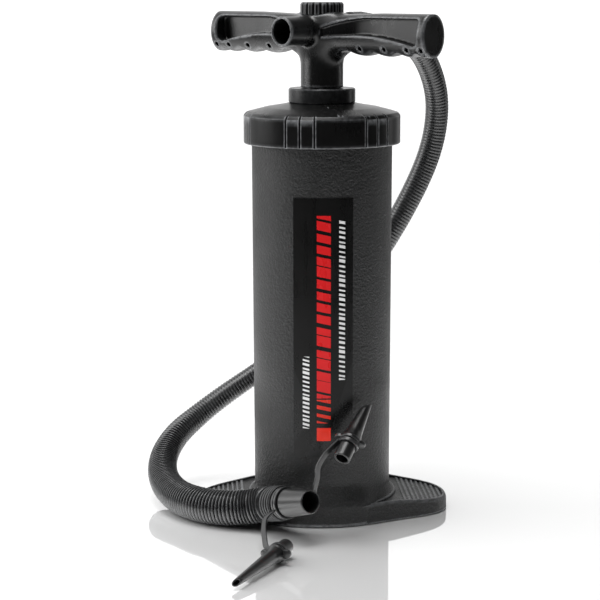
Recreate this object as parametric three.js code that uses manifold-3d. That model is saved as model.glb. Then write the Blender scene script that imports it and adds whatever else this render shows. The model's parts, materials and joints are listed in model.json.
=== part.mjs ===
// Double-action hand pump: a cylinder moulded in one with its foot plate, a screw cap with a
// rod gland, and a T-handle on a pair of concentric tubes that carry the air between the two
// ports in the handle hub and the valve block in the piston.
// Millimetres, +Z up. Origin: centre of the cylinder on the floor. +X runs along the right-hand
// grip, and the open intake port points along -Y.
import * as THREE from 'three';
import { mergeVertices } from 'three/addons/utils/BufferGeometryUtils.js';
import Module from 'manifold-3d';

const wasm = await Module();
wasm.setup();

// ---- driving dimensions -------------------------------------------------------------------
const BARREL_R_TOP = 50.4;
const BARREL_R_LOW = 49.4;
const BARREL_BORE = 46.6;
const BARREL_TOP = 285;
const BARREL_FLOOR = 11;
const FOOT_TURN = 48;
const FOOT_END = 92;
const FOOT_FRONT = 53.8;
const FOOT_TOP = 15;
const FOOT_TOP_END = 10.5;
const RIDGE_R = 52.2;
const RIDGE_TOP = 17;
const PAD_RIBS = 9;
const PAD_RIB_PITCH = 3.6;
const LABEL_TURN = 45;
const LABEL_HALF = 21.5;
const LABEL_LOW = 51;
const LABEL_HIGH = 236;
const CAP_R = 56.1;
const CAP_LOW = 270.5;
const CAP_EDGE = 291.5;
const CAP_CONE_TOP = 299.5;
const CAP_GRIP_TURN = 28;
const CAP_GRIP_STEP = 10.7;
const COLLAR_R = 23.2;
const COLLAR_LOW = 299.8;
const COLLAR_TOP = 309.7;
const ROD_R = 13.6;
const ROD_BORE = 11.2;
const INNER_R = 8;
const INNER_BORE = 6.3;
const NECK_R = 14.6;
const NECK_LOW = 311;
const GRIP_LOW = 333;
const GRIP_HIGH = 363.2;
const GRIP_HALF = 11.9;
const GRIP_END = 103.5;
const PORT_Z = 350;
const PORT_R = 10.35;
const PORT_BORE = 8.4;
const PORT_END = 41;
const KNOB_R = 15.4;
const KNOB_LOW = 361.2;
const TOTAL_TOP = 370;
const PISTON_LOW = 16;
const HOSE_R = 10.4;
const LAY_TURN = 44;

// ---- materials ----------------------------------------------------------------------------
function matte(color, roughness, metalness = 0) {
  return new THREE.MeshStandardMaterial({ color, roughness, metalness });
}
const MOULDED = matte(0x2b2c2d, 0.62);
const CAP_BLACK = matte(0x1e1f20, 0.5);
const ROD_BLACK = matte(0x191a1b, 0.35);
const RUBBER = matte(0x141414, 0.85);
const HOSE_BLACK = matte(0x262728, 0.55);
const LABEL_BLACK = matte(0x0d0d0e, 0.3);
const INNER_GREY = matte(0x8c8f92, 0.5);
const VALVE_AMBER = matte(0x9a6a3a, 0.7);
const SCREW_STEEL = matte(0xa6a8aa, 0.35, 0.9);

// ---- solids -------------------------------------------------------------------------------
function signedVolume(geometry) {
  const p = geometry.getAttribute('position');
  const index = geometry.getIndex();
  const a = new THREE.Vector3();
  const b = new THREE.Vector3();
  const c = new THREE.Vector3();
  let sum = 0;
  for (let i = 0; i < index.count; i += 3) {
    a.fromBufferAttribute(p, index.getX(i));
    b.fromBufferAttribute(p, index.getX(i + 1));
    c.fromBufferAttribute(p, index.getX(i + 2));
    sum += a.dot(b.cross(c)) / 6;
  }
  return sum;
}

// Keeps only positions, merges shared vertices, drops collapsed faces and turns faces outwards.
function tidy(source) {
  const bare = source.clone();
  bare.deleteAttribute('normal');
  bare.deleteAttribute('uv');
  const merged = mergeVertices(bare, 1e-4);
  const index = merged.getIndex();
  const kept = [];
  for (let i = 0; i < index.count; i += 3) {
    const tri = [index.getX(i), index.getX(i + 1), index.getX(i + 2)];
    if (tri[0] !== tri[1] && tri[1] !== tri[2] && tri[0] !== tri[2]) kept.push(...tri);
  }
  merged.setIndex(kept);
  if (signedVolume(merged) < 0) {
    for (let i = 0; i < kept.length; i += 3) {
      const swap = kept[i + 1];
      kept[i + 1] = kept[i + 2];
      kept[i + 2] = swap;
    }
    merged.setIndex(kept);
  }
  return merged;
}

function solid(geometry) {
  const g = tidy(geometry);
  const vertProperties = new Float32Array(g.getAttribute('position').array);
  const triVerts = new Uint32Array(g.getIndex().array);
  return new wasm.Manifold(new wasm.Mesh({ numProp: 3, vertProperties, triVerts }));
}

function geometryOf(manifold) {
  const mesh = manifold.getMesh();
  const g = new THREE.BufferGeometry();
  g.setAttribute('position', new THREE.BufferAttribute(new Float32Array(mesh.vertProperties), 3));
  g.setIndex(new THREE.BufferAttribute(new Uint32Array(mesh.triVerts), 1));
  return tidy(g);
}

// Surface of revolution about Z from a closed [radius, height] profile.
function turned(profile, segments = 32) {
  const points = profile.map(([r, z]) => new THREE.Vector2(r, z));
  const onAxis = profile[0][0] === 0 && profile[profile.length - 1][0] === 0;
  if (!onAxis) points.push(points[0].clone());
  return new THREE.LatheGeometry(points, segments).rotateX(Math.PI / 2);
}

function rod(r, low, high, segments = 24) {
  return turned([[0, low], [r, low], [r, high], [0, high]], segments);
}

function ring(inner, outer, low, high, segments = 32) {
  return turned([[inner, low], [outer, low], [outer, high], [inner, high]], segments);
}

function box(x0, x1, y0, y1, z0, z1) {
  const g = new THREE.BoxGeometry(x1 - x0, y1 - y0, z1 - z0);
  return g.translate((x0 + x1) / 2, (y0 + y1) / 2, (z0 + z1) / 2);
}

function outline(points) {
  return new THREE.Shape(points.map(([x, y]) => new THREE.Vector2(x, y)));
}

function prism(shape, low, high, curveSegments = 6) {
  const g = new THREE.ExtrudeGeometry(shape, { depth: high - low, bevelEnabled: false, curveSegments });
  return g.translate(0, 0, low);
}

// Prism whose outline lies in the XZ plane, running from y0 to y1.
function sidePrism(shape, y0, y1, curveSegments = 6) {
  const g = new THREE.ExtrudeGeometry(shape, { depth: y1 - y0, bevelEnabled: false, curveSegments });
  return g.rotateX(Math.PI / 2).translate(0, y1, 0);
}

// Round bar along Y at height z.
function barY(r, y0, y1, z, segments = 24) {
  return rod(r, y0, y1, segments).rotateX(-Math.PI / 2).translate(0, 0, z);
}

function barX(r, x0, x1, z, segments = 20) {
  return rod(r, x0, x1, segments).rotateY(Math.PI / 2).translate(0, 0, z);
}

function swept(shape, path, steps) {
  return new THREE.ExtrudeGeometry(shape, { steps, bevelEnabled: false, extrudePath: path, curveSegments: 2 });
}

function circleShape(r, sides) {
  const points = [];
  for (let i = 0; i < sides; i += 1) {
    const a = (2 * Math.PI * i) / sides;
    points.push([r * Math.cos(a), r * Math.sin(a)]);
  }
  return outline(points);
}

const model = new THREE.Group();

function place(parent, name, shape, material) {
  const geometry = shape instanceof THREE.BufferGeometry ? tidy(shape) : geometryOf(shape);
  const mesh = new THREE.Mesh(geometry, material);
  mesh.name = name;
  parent.add(mesh);
  return mesh;
}

function turnedGroup(degrees) {
  const group = new THREE.Group();
  group.rotation.z = THREE.MathUtils.degToRad(degrees);
  model.add(group);
  return group;
}

// ---- cylinder and foot plate, one moulding ------------------------------------------------
// Plan of the foot: a long lens with blunt ends, half of it given and mirrored.
function footPlan(inset) {
  const half = [
    [0, FOOT_FRONT], [16, 52.4], [30, 48], [45, 41.4], [60, 34], [74, 27], [84, 20],
    [89.5, 12], [FOOT_END, 4],
  ];
  const shrunk = half.map(([x, y]) => [Math.max(0, x - (inset * x) / FOOT_END), y - inset]);
  const quarter = shrunk.filter(([, y]) => y > 0.5);
  const right = quarter.slice(1);
  const rightLow = right.map(([x, y]) => [x, -y]).reverse();
  const upper = right.concat(rightLow);
  const left = upper.map(([x, y]) => [-x, -y]);
  return outline([[0, quarter[0][1]], ...upper, [0, -quarter[0][1]], ...left]);
}

// A block whose underside is the pad plane: FOOT_TOP at the cylinder, lower at the foot's end.
function slopedLid(side, lift) {
  const slope = (FOOT_TOP_END - FOOT_TOP) / (FOOT_END - BARREL_R_LOW);
  const at = (x) => FOOT_TOP + lift + slope * (x - BARREL_R_LOW);
  const shape = outline([[20, at(20)], [120, at(120)], [120, 60], [20, 60]]);
  const g = sidePrism(shape, -80, 80);
  return side > 0 ? g : g.rotateZ(Math.PI);
}

function buildBarrel() {
  const wall = solid(turned([
    [0, 0], [BARREL_R_LOW, 0], [BARREL_R_LOW, 30], [BARREL_R_TOP, BARREL_TOP - 2],
    [BARREL_R_TOP - 0.6, BARREL_TOP], [0, BARREL_TOP],
  ], 44));
  let plate = solid(prism(footPlan(0), 0, RIDGE_TOP - 0.9));
  const ridge = solid(turned([
    [0, 5], [RIDGE_R, 5], [RIDGE_R, RIDGE_TOP - 0.3], [RIDGE_R - 0.9, RIDGE_TOP],
    [RIDGE_R - 2, RIDGE_TOP + 1], [BARREL_R_LOW - 1.2, RIDGE_TOP + 9], [0, RIDGE_TOP + 9],
  ], 44));
  const rimPlan = solid(prism(footPlan(2.4), 5, 40));
  const ribPlan = solid(prism(footPlan(1.2), 6, 40));
  const hub = solid(rod(RIDGE_R - 0.9, 0, 40, 44));
  for (const side of [1, -1]) {
    plate = plate.subtract(solid(slopedLid(side, 0)).subtract(hub));
    plate = plate.subtract(solid(slopedLid(side, -1.2)).intersect(rimPlan).subtract(hub));
    for (let i = 0; i < PAD_RIBS; i += 1) {
      const x = side * (57 + i * PAD_RIB_PITCH);
      const bar = solid(box(x - 0.9, x + 0.9, -50, 50, 6, 40)).intersect(ribPlan);
      plate = plate.add(bar.subtract(solid(slopedLid(side, -0.4))));
    }
  }
  let body = plate.add(ridge).add(wall);
  body = body.subtract(solid(rod(BARREL_BORE, BARREL_FLOOR, BARREL_TOP + 5, 44)));
  // Small core-outs in the underside between stiffening ribs.
  for (const sx of [1, -1]) {
    for (const sy of [1, -1]) {
      body = body.subtract(solid(box(
        Math.min(sx * 2, sx * 32), Math.max(sx * 2, sx * 32),
        Math.min(sy * 2, sy * 32), Math.max(sy * 2, sy * 32), -1, 6.5,
      )));
    }
    const x0 = sx > 0 ? 54 : -79;
    body = body.subtract(solid(box(x0, x0 + 25, -14, 14, -1, 6)));
  }
  return body;
}

const footGroup = turnedGroup(FOOT_TURN);
place(footGroup, 'barrel', buildBarrel(), MOULDED);

function buildLabel() {
  const slope = (BARREL_R_TOP - BARREL_R_LOW) / (BARREL_TOP - 32);
  const at = (z) => BARREL_R_LOW + slope * (z - 30);
  const skin = solid(turned([
    [at(LABEL_LOW) + 0.3, LABEL_LOW], [at(LABEL_LOW) + 0.65, LABEL_LOW],
    [at(LABEL_HIGH) + 0.65, LABEL_HIGH], [at(LABEL_HIGH) + 0.3, LABEL_HIGH],
  ], 60));
  const face = outline([
    [-LABEL_HALF, LABEL_LOW + 2], [-LABEL_HALF + 2, LABEL_LOW - 1], [LABEL_HALF - 2, LABEL_LOW - 1],
    [LABEL_HALF, LABEL_LOW + 2], [LABEL_HALF, LABEL_HIGH - 2], [LABEL_HALF - 2, LABEL_HIGH + 1],
    [-LABEL_HALF + 2, LABEL_HIGH + 1], [-LABEL_HALF, LABEL_HIGH - 2],
  ]);
  return skin.intersect(solid(sidePrism(face, -70, -20)));
}
place(turnedGroup(LABEL_TURN), 'barrel_label', buildLabel(), LABEL_BLACK);

// ---- screw cap, gasket and gland ----------------------------------------------------------
function buildCap() {
  let cap = solid(turned([
    [50.9, CAP_LOW], [CAP_R - 0.8, CAP_LOW], [CAP_R, CAP_LOW + 0.8], [CAP_R, CAP_EDGE],
    [CAP_R - 2.6, CAP_EDGE + 2.2], [COLLAR_R - 1, CAP_CONE_TOP], [19, CAP_CONE_TOP], [19, 290],
    [14.3, 290], [14.3, 287], [50.9, 287],
  ], 48));
  for (let group = 0; group < 6; group += 1) {
    for (let i = -1; i <= 1; i += 1) {
      const a = THREE.MathUtils.degToRad(group * 60 + i * CAP_GRIP_STEP);
      const notch = new THREE.CylinderGeometry(1.9, 1.9, 60, 4);
      notch.rotateX(Math.PI / 2).translate(0, -CAP_R - 0.3, CAP_EDGE - 10).rotateZ(a);
      cap = cap.subtract(solid(notch));
    }
  }
  return cap;
}
const capGroup = turnedGroup(CAP_GRIP_TURN);
place(capGroup, 'cap', buildCap(), CAP_BLACK);
place(capGroup, 'cap_gasket', ring(BARREL_BORE + 0.4, BARREL_R_TOP - 0.3, BARREL_TOP + 0.3, 286.7, 32), RUBBER);

place(model, 'gland_collar', turned([
  [17.5, 290.4], [18.6, 290.4], [18.6, COLLAR_LOW], [COLLAR_R - 0.5, COLLAR_LOW],
  [COLLAR_R, COLLAR_LOW + 0.5], [COLLAR_R, COLLAR_TOP - 0.7], [COLLAR_R - 0.7, COLLAR_TOP],
  [14.2, COLLAR_TOP], [14.2, 306], [17.5, 306],
], 28), CAP_BLACK);
place(model, 'gland_ring', ring(14.1, 17.2, 303.4, 305.7, 24), INNER_GREY);
place(model, 'rod_bush', ring(13.9, 17.2, 290.4, 299, 24), INNER_GREY);
place(model, 'rod_seal', turned([
  [13.9, 299.4], [17.2, 299.4], [17.2, 303], [16.2, 303], [15.6, 301], [14.8, 303], [13.9, 302.6],
], 24), RUBBER);

// ---- handle -------------------------------------------------------------------------------
// Side view of one grip: a straight crown, four finger bulges below and a web into the neck.
function gripSide() {
  const s = new THREE.Shape();
  s.moveTo(0, KNOB_LOW - 1.6);
  s.lineTo(22, GRIP_HIGH - 1.6);
  s.lineTo(60, GRIP_HIGH);
  s.lineTo(GRIP_END - 3, GRIP_HIGH);
  s.lineTo(GRIP_END, GRIP_HIGH - 2);
  s.lineTo(GRIP_END, GRIP_LOW + 1.5);
  s.lineTo(GRIP_END - 1.5, GRIP_LOW);
  const bulges = [[101, 94.5, 87.5], [87.5, 77, 66.5], [66.5, 55.5, 44.5]];
  for (const [from, mid, to] of bulges) {
    s.lineTo(from, GRIP_LOW);
    s.quadraticCurveTo(from - 3, GRIP_LOW, mid, GRIP_LOW + 2.8);
    s.quadraticCurveTo(to + 3, GRIP_LOW, to, GRIP_LOW);
  }
  s.quadraticCurveTo(39, GRIP_LOW, 34, GRIP_LOW + 3);
  s.quadraticCurveTo(24, GRIP_LOW + 5.5, 18, GRIP_LOW - 2.5);
  s.quadraticCurveTo(15.4, 326, NECK_R - 0.2, 321);
  s.lineTo(0, 321);
  s.closePath();
  return s;
}

function pocketSide() {
  const s = new THREE.Shape();
  s.moveTo(19, 354.4);
  s.quadraticCurveTo(32, 358.6, 50, GRIP_HIGH - 3.6);
  s.lineTo(88, GRIP_HIGH - 3.8);
  s.quadraticCurveTo(92, GRIP_HIGH - 4, 92, GRIP_HIGH - 7);
  s.lineTo(91.5, 345.5);
  s.quadraticCurveTo(91, 341.6, 86, 342.4);
  s.quadraticCurveTo(62, 348, 40, 347.6);
  s.quadraticCurveTo(28, 347, 19, 346.4);
  s.closePath();
  return s;
}

function buildHandle() {
  const gripZ = (GRIP_LOW + GRIP_HIGH) / 2;
  const gripTall = (GRIP_HIGH - GRIP_LOW) / 2;
  const oval = solid(barX(1, -GRIP_END - 1, GRIP_END + 1, 0, 20)
    .scale(1, GRIP_HALF, gripTall + 0.25).translate(0, 0, gripZ));
  const webSlab = solid(box(-34, 34, -6, 6, 300, 345));
  const sides = solid(sidePrism(gripSide(), -20, 20, 3));
  const mirrored = solid(sidePrism(gripSide(), -20, 20, 3).rotateZ(Math.PI));
  let body = sides.add(mirrored).intersect(oval.add(webSlab));
  body = body.add(solid(turned([
    [0, NECK_LOW], [NECK_R - 0.4, NECK_LOW], [NECK_R, NECK_LOW + 1], [NECK_R, 330], [17, 336],
    [17.4, 352], [15.5, 359.4], [11, 360.4], [9, 360.6], [9, 366.2], [0, 366.2],
  ], 28)));
  const port = barY(PORT_R, -PORT_END, PORT_END, PORT_Z, 24);
  body = body.add(solid(port));
  for (const [sx, sy] of [[1, 1], [1, -1], [-1, 1], [-1, -1]]) {
    let pocket = sidePrism(pocketSide(), 1.7, 30, 3);
    if (sx * sy < 0) pocket = sidePrism(pocketSide(), -30, -1.7, 3);
    if (sx < 0) pocket = pocket.rotateZ(Math.PI);
    let cut = solid(pocket);
    if (sy > 0) cut = cut.subtract(solid(box(-21, 21, 0, 30, 300, 380)));
    else cut = cut.subtract(solid(box(-21, 21, -30, 0, 300, 380)));
    body = body.subtract(cut);
  }
  for (const side of [1, -1]) {
    for (const x of [44.5, 67, 87.5, 100.2]) {
      for (const y of [-1, 1]) {
        const hole = barY(1.2, y > 0 ? 8 : -14, y > 0 ? 14 : -8, 338.6, 6).translate(side * x, 0, 0);
        body = body.subtract(solid(hole));
      }
    }
  }
  // Socket for the outer tube, a gallery round the inner tube, and the two port bores.
  body = body.subtract(solid(rod(ROD_R + 0.3, NECK_LOW - 1, 334.4, 24)));
  body = body.subtract(solid(rod(13.2, 334, 341, 20)));
  body = body.subtract(solid(rod(INNER_R + 0.3, 334, 351, 20)));
  body = body.subtract(solid(barY(PORT_BORE, -PORT_END - 1, 0, PORT_Z, 20)));
  body = body.subtract(solid(barY(PORT_BORE, 10.6, PORT_END + 1, PORT_Z, 20)));
  body = body.subtract(solid(box(-5, 5, 10.6, 13, 338, 350)));
  return body.subtract(solid(rod(4, 350, 380, 12)));
}
place(model, 'handle', buildHandle(), MOULDED);

function buildKnob() {
  const flutes = 18;
  const points = [];
  for (let i = 0; i < flutes * 4; i += 1) {
    const a = (2 * Math.PI * i) / (flutes * 4);
    const r = i % 4 < 2 ? KNOB_R : KNOB_R - 0.9;
    points.push([r * Math.cos(a), r * Math.sin(a)]);
  }
  const cap = solid(prism(outline(points), KNOB_LOW, TOTAL_TOP));
  const crown = solid(turned([[0, 350], [KNOB_R + 1, 350], [KNOB_R + 1, TOTAL_TOP - 1.2],
    [KNOB_R - 1.2, TOTAL_TOP], [0, TOTAL_TOP]], 36));
  const hollow = solid(rod(9.4, KNOB_LOW - 1, 367.8, 20));
  const plug = solid(rod(3.7, 357, 369, 12));
  return cap.intersect(crown).subtract(hollow).add(plug);
}
place(model, 'hub_knob', buildKnob(), CAP_BLACK);
place(model, 'knob_seal', ring(4.2, 8.8, 366.5, 367.5, 20), RUBBER);

// ---- rod and piston -----------------------------------------------------------------------
const PLATE = 3.4;
const CORE_LOW = PISTON_LOW + PLATE + 0.3;
const CORE_HIGH = CORE_LOW + 18;
const UPPER_LOW = CORE_HIGH + 0.3;
const PISTON_HIGH = UPPER_LOW + PLATE;
const VALVE_OFFSET = 25;

place(model, 'rod_outer_tube', ring(ROD_BORE, ROD_R, CORE_HIGH - 6.7, 334, 28), ROD_BLACK);
place(model, 'rod_inner_tube', ring(INNER_BORE, INNER_R, CORE_LOW + 8.3, 346, 20), INNER_GREY);

const pistonGroup = new THREE.Group();
model.add(pistonGroup);

// Four valve seats: intake on the X axis, outlet on the Y axis, one of each per chamber.
const SEATS = {
  upper: [[VALVE_OFFSET, 0], [0, VALVE_OFFSET]],
  lower: [[-VALVE_OFFSET, 0], [0, -VALVE_OFFSET]],
};

function buildPlate(low, seats, bore) {
  let plate = solid(turned([
    [bore, low], [45.9, low], [45.9, low + 0.8], [43.4, low + 0.8], [43.4, low + PLATE - 0.8],
    [45.9, low + PLATE - 0.8], [45.9, low + PLATE], [bore, low + PLATE],
  ], 32));
  for (const [x, y] of seats) {
    plate = plate.subtract(solid(rod(1.7, low - 1, low + PLATE + 1, 8).translate(x, y, 0)));
    for (let i = 0; i < 4; i += 1) {
      const a = (Math.PI * (2 * i + 1)) / 4;
      const hole = rod(1.5, low - 1, low + PLATE + 1, 6);
      plate = plate.subtract(solid(hole.translate(x + 4.2 * Math.cos(a), y + 4.2 * Math.sin(a), 0)));
    }
  }
  return plate;
}
place(pistonGroup, 'piston_lower_plate', buildPlate(PISTON_LOW, SEATS.lower, 3.4), INNER_GREY);
place(pistonGroup, 'piston_upper_plate', buildPlate(UPPER_LOW, SEATS.upper, ROD_R + 0.3), INNER_GREY);

function sealRing(low) {
  return turned([
    [43.8, low + 1.15], [45.6, low + 1.15], [46.3, low + 1.25], [46.3, low + PLATE - 1.25],
    [45.6, low + PLATE - 1.15], [43.8, low + PLATE - 1.15],
  ], 36);
}
place(pistonGroup, 'piston_lower_seal', sealRing(PISTON_LOW), RUBBER);
place(pistonGroup, 'piston_upper_seal', sealRing(UPPER_LOW), RUBBER);

function buildCore() {
  let core = solid(rod(34, CORE_LOW, CORE_HIGH, 28));
  core = core.subtract(solid(rod(ROD_R + 0.3, CORE_HIGH - 7, CORE_HIGH + 1, 24)));
  core = core.subtract(solid(rod(ROD_BORE, CORE_HIGH - 10, CORE_HIGH + 1, 20)));
  core = core.subtract(solid(rod(INNER_R + 0.3, CORE_LOW + 8, CORE_HIGH + 1, 16)));
  core = core.subtract(solid(rod(INNER_BORE, CORE_LOW + 4.4, CORE_HIGH, 16)));
  core = core.subtract(solid(rod(2.2, CORE_LOW - 1, CORE_HIGH, 12)));
  core = core.subtract(solid(barX(2.4, -VALVE_OFFSET, VALVE_OFFSET, CORE_LOW + 6.2, 8)));
  core = core.subtract(solid(barY(2.4, 9.8, VALVE_OFFSET, CORE_HIGH - 8.6, 8)));
  core = core.subtract(solid(barY(2.4, -VALVE_OFFSET, -9.8, CORE_HIGH - 8.6, 8)));
  for (const [x, y] of SEATS.upper) {
    const low = y === 0 ? CORE_LOW + 5 : CORE_HIGH - 10;
    core = core.subtract(solid(rod(7.6, low, CORE_HIGH + 1, 16).translate(x, y, 0)));
  }
  for (const [x, y] of SEATS.lower) {
    const high = y === 0 ? CORE_LOW + 8 : CORE_HIGH - 7;
    core = core.subtract(solid(rod(7.6, CORE_LOW - 1, high, 16).translate(x, y, 0)));
  }
  return core;
}
place(pistonGroup, 'piston_core', buildCore(), INNER_GREY);

// Umbrella valve: a disc over the seat holes with a stem and a retaining bulb beyond the plate.
// up = 1 lays the disc on the upper side of the plate, -1 on the lower side.
function umbrella(seatZ, farZ, up) {
  const bulb = farZ - up * 1.9;
  const profile = [
    [0, seatZ + up * 1.5], [6.4, seatZ + up * 1.3], [6.6, seatZ + up * 0.35], [1.3, seatZ + up * 0.35],
    [1.3, bulb], [2.3, bulb - up * 0.6], [2.1, bulb - up * 2], [0, bulb - up * 2.4],
  ];
  return turned(profile, 12);
}
const upperTop = UPPER_LOW + PLATE;
const lowerTop = PISTON_LOW + PLATE;
const VALVES = [
  ['valve_intake_upper', SEATS.upper[0], upperTop, UPPER_LOW, 1],
  ['valve_outlet_upper', SEATS.upper[1], UPPER_LOW, upperTop, -1],
  ['valve_intake_lower', SEATS.lower[0], PISTON_LOW, lowerTop, -1],
  ['valve_outlet_lower', SEATS.lower[1], lowerTop, PISTON_LOW, 1],
];
for (const [name, [x, y], seatZ, farZ, up] of VALVES) {
  place(pistonGroup, name, umbrella(seatZ, farZ, up).translate(x, y, 0), VALVE_AMBER);
}
place(pistonGroup, 'piston_screw', turned([
  [0, 13.4], [4.6, 13.4], [5.6, 14.4], [5.6, PISTON_LOW - 0.3], [1.9, PISTON_LOW - 0.3],
  [1.9, CORE_LOW + 4], [0, CORE_LOW + 4],
], 18), SCREW_STEEL);

// ---- hose, laid in a frame turned LAY_TURN from the grips ---------------------------------
const lay = turnedGroup(LAY_TURN);
const layAngle = THREE.MathUtils.degToRad(LAY_TURN);
// The rear port's direction in the lay frame.
const portX = Math.sin(layAngle);
const portY = Math.cos(layAngle);
function alongPort(distance, z) {
  return new THREE.Vector3(portX * distance, portY * distance, z);
}

// Ribbed cuff pushed over the rear port, on the port's axis.
const cuffUpper = new THREE.Group();
cuffUpper.position.set(0, 0, PORT_Z);
model.add(cuffUpper);
const CUFF_START = PORT_END - 13;
const CUFF_END = PORT_END + 9;
place(cuffUpper, 'hose_upper_cuff', turned([
  [PORT_R + 0.3, CUFF_START], [PORT_R + 2.2, CUFF_START], [PORT_R + 2.6, CUFF_START + 1],
  [PORT_R + 2.6, PORT_END + 1], [PORT_R + 1.4, CUFF_END], [7.6, CUFF_END], [7.6, PORT_END + 0.3],
  [PORT_R + 0.3, PORT_END + 0.3],
], 24).rotateX(-Math.PI / 2), RUBBER);

// The end of the hose: axis of the nozzle from its cuff to its mouth.
const NOZZLE_BASE = new THREE.Vector3(-31, -68, 22.4);
const NOZZLE_DIR = new THREE.Vector3(21.6, -25.5, 8.6).normalize();

const hosePoints = [
  alongPort(CUFF_END + 0.4, PORT_Z), alongPort(CUFF_END + 14, PORT_Z),
  new THREE.Vector3(62, 66, 343.5), new THREE.Vector3(77, 81, 328), new THREE.Vector3(86.5, 92.5, 304),
  new THREE.Vector3(88, 99, 280), new THREE.Vector3(81.5, 102, 249), new THREE.Vector3(56, 97, 197),
  new THREE.Vector3(22, 92, 147), new THREE.Vector3(-18, 89, 106), new THREE.Vector3(-54, 86, 81),
  new THREE.Vector3(-77, 82, 65.5), new THREE.Vector3(-97, 75, 51), new THREE.Vector3(-111, 62, 40.5),
  new THREE.Vector3(-119, 46, 30.5), new THREE.Vector3(-120.5, 28, 22.5), new THREE.Vector3(-116.5, 9, 16.5),
  new THREE.Vector3(-106, -14, 12.8), new THREE.Vector3(-92, -33, 12.6), new THREE.Vector3(-81, -42, 12.8),
  new THREE.Vector3(-66, -49.5, 13.8), new THREE.Vector3(-51, -53.5, 15.8),
  NOZZLE_BASE.clone().addScaledVector(NOZZLE_DIR, -14),
  NOZZLE_BASE.clone().addScaledVector(NOZZLE_DIR, -5.6),
];
const hosePath = new THREE.CatmullRomCurve3(hosePoints, false, 'centripetal');
place(lay, 'hose', swept(circleShape(HOSE_R, 8), hosePath, 32), HOSE_BLACK);

// Nozzle group: local +Z is the way the mouth points, origin at the cuff face.
const nozzle = new THREE.Group();
nozzle.position.copy(NOZZLE_BASE);
nozzle.quaternion.setFromUnitVectors(new THREE.Vector3(0, 0, 1), NOZZLE_DIR);
lay.add(nozzle);
place(nozzle, 'hose_end_cuff', turned([
  [9.3, -5], [12.2, -5], [12.5, -4], [12.5, 4.4], [12, 5], [9.3, 5],
], 24), RUBBER);
place(nozzle, 'hose_nozzle', turned([
  [7.4, -4.6], [8.9, -4.6], [8.9, 11.6], [9.6, 12.4], [7.9, 38], [6.7, 38], [7.2, 20],
], 24), ROD_BLACK);

// ---- nozzle adapters on their straps ------------------------------------------------------
// Adapter about its own +Z, socket mouth at z = 0 and tip at the far end.
function buildAdapter(length, socketR, coneR, tipR) {
  const flange = 15;
  let body = solid(turned([
    [0, 0], [socketR, 0], [socketR, flange], [coneR + 0.6, flange], [coneR + 0.6, flange + 2.4],
    [coneR, flange + 2.8], [coneR * 0.8, flange + 9], [tipR, length], [0, length],
  ], 18));
  const lug = new THREE.Shape();
  lug.absarc(6.6, 0, 3, -Math.PI / 2, Math.PI / 2, false);
  lug.absarc(-6.6, 0, 3, Math.PI / 2, (3 * Math.PI) / 2, false);
  body = body.add(solid(prism(lug, flange, flange + 2.4, 4)));
  body = body.subtract(solid(rod(socketR - 1.6, -1, flange - 2, 14)));
  const bore = turned([[0, flange - 3], [3, flange - 3], [tipR - 0.9, length + 1], [0, length + 1]], 12);
  return body.subtract(solid(bore));
}

function strapShape() {
  return outline([[-0.8, -2.3], [0.8, -2.3], [0.8, 2.3], [-0.8, 2.3]]);
}

const layPoint = (x, y, z) => new THREE.Vector3(x, y, z);

// Point on a tether ring, on the side of the nozzle that faces the given way.
function onRing(height, facing) {
  const out = facing.clone().addScaledVector(NOZZLE_DIR, -facing.dot(NOZZLE_DIR)).normalize();
  return NOZZLE_BASE.clone().addScaledVector(NOZZLE_DIR, height).addScaledVector(out, 10.4);
}

const WIDE = { mouth: layPoint(13.6, -84, 59), tip: layPoint(32.6, -48.6, 90), socket: 5.9, cone: 6.8, end: 2.9 };
const SLIM = { mouth: layPoint(-24, -120, 7.6), tip: layPoint(-56, -190, 4.6), socket: 5.2, cone: 5.6, end: 2.4 };
const LOOP_LOW = 11.6;

function adapterGroup(spec, roll) {
  const group = new THREE.Group();
  const along = spec.tip.clone().sub(spec.mouth).normalize();
  group.position.copy(spec.mouth);
  const level = new THREE.Vector3(0, 0, 1).cross(along).normalize();
  const basis = new THREE.Matrix4().makeBasis(level, along.clone().cross(level), along);
  group.quaternion.setFromRotationMatrix(basis);
  group.quaternion.multiply(
    new THREE.Quaternion().setFromAxisAngle(new THREE.Vector3(0, 0, 1), roll),
  );
  group.updateMatrix();
  lay.add(group);
  return group;
}

// Tether, in the nozzle group's frame: a ring round the nozzle, a flat strap, and a small loop
// round the adapter's socket just below its flange.
function buildTether(ringLow, spec, group, points, steps) {
  nozzle.updateMatrix();
  const inverse = nozzle.matrix.clone().invert();
  const local = points.map((p) => p.clone().applyMatrix4(inverse));
  const path = new THREE.CatmullRomCurve3(local, false, 'centripetal');
  const toNozzle = inverse.clone().multiply(group.matrix);
  const hoop = solid(ring(9.25, 11.4, ringLow, ringLow + 2.4, 24));
  const inner = spec.socket + 0.3;
  const loop = solid(ring(inner, inner + 1.4, LOOP_LOW, LOOP_LOW + 2.8, 16).applyMatrix4(toNozzle));
  const clear = solid(rod(inner, LOOP_LOW - 12, LOOP_LOW + 12, 16).applyMatrix4(toNozzle));
  return hoop.add(solid(swept(strapShape(), path, steps)).subtract(clear)).add(loop);
}

// Point just outside an adapter's loop, on the side that faces the given way.
function onLoop(spec, facing) {
  const along = spec.tip.clone().sub(spec.mouth).normalize();
  const out = facing.clone().addScaledVector(along, -facing.dot(along)).normalize();
  const at = spec.mouth.clone().addScaledVector(along, LOOP_LOW + 1.4);
  return at.addScaledVector(out, spec.socket + 0.9);
}

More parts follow.
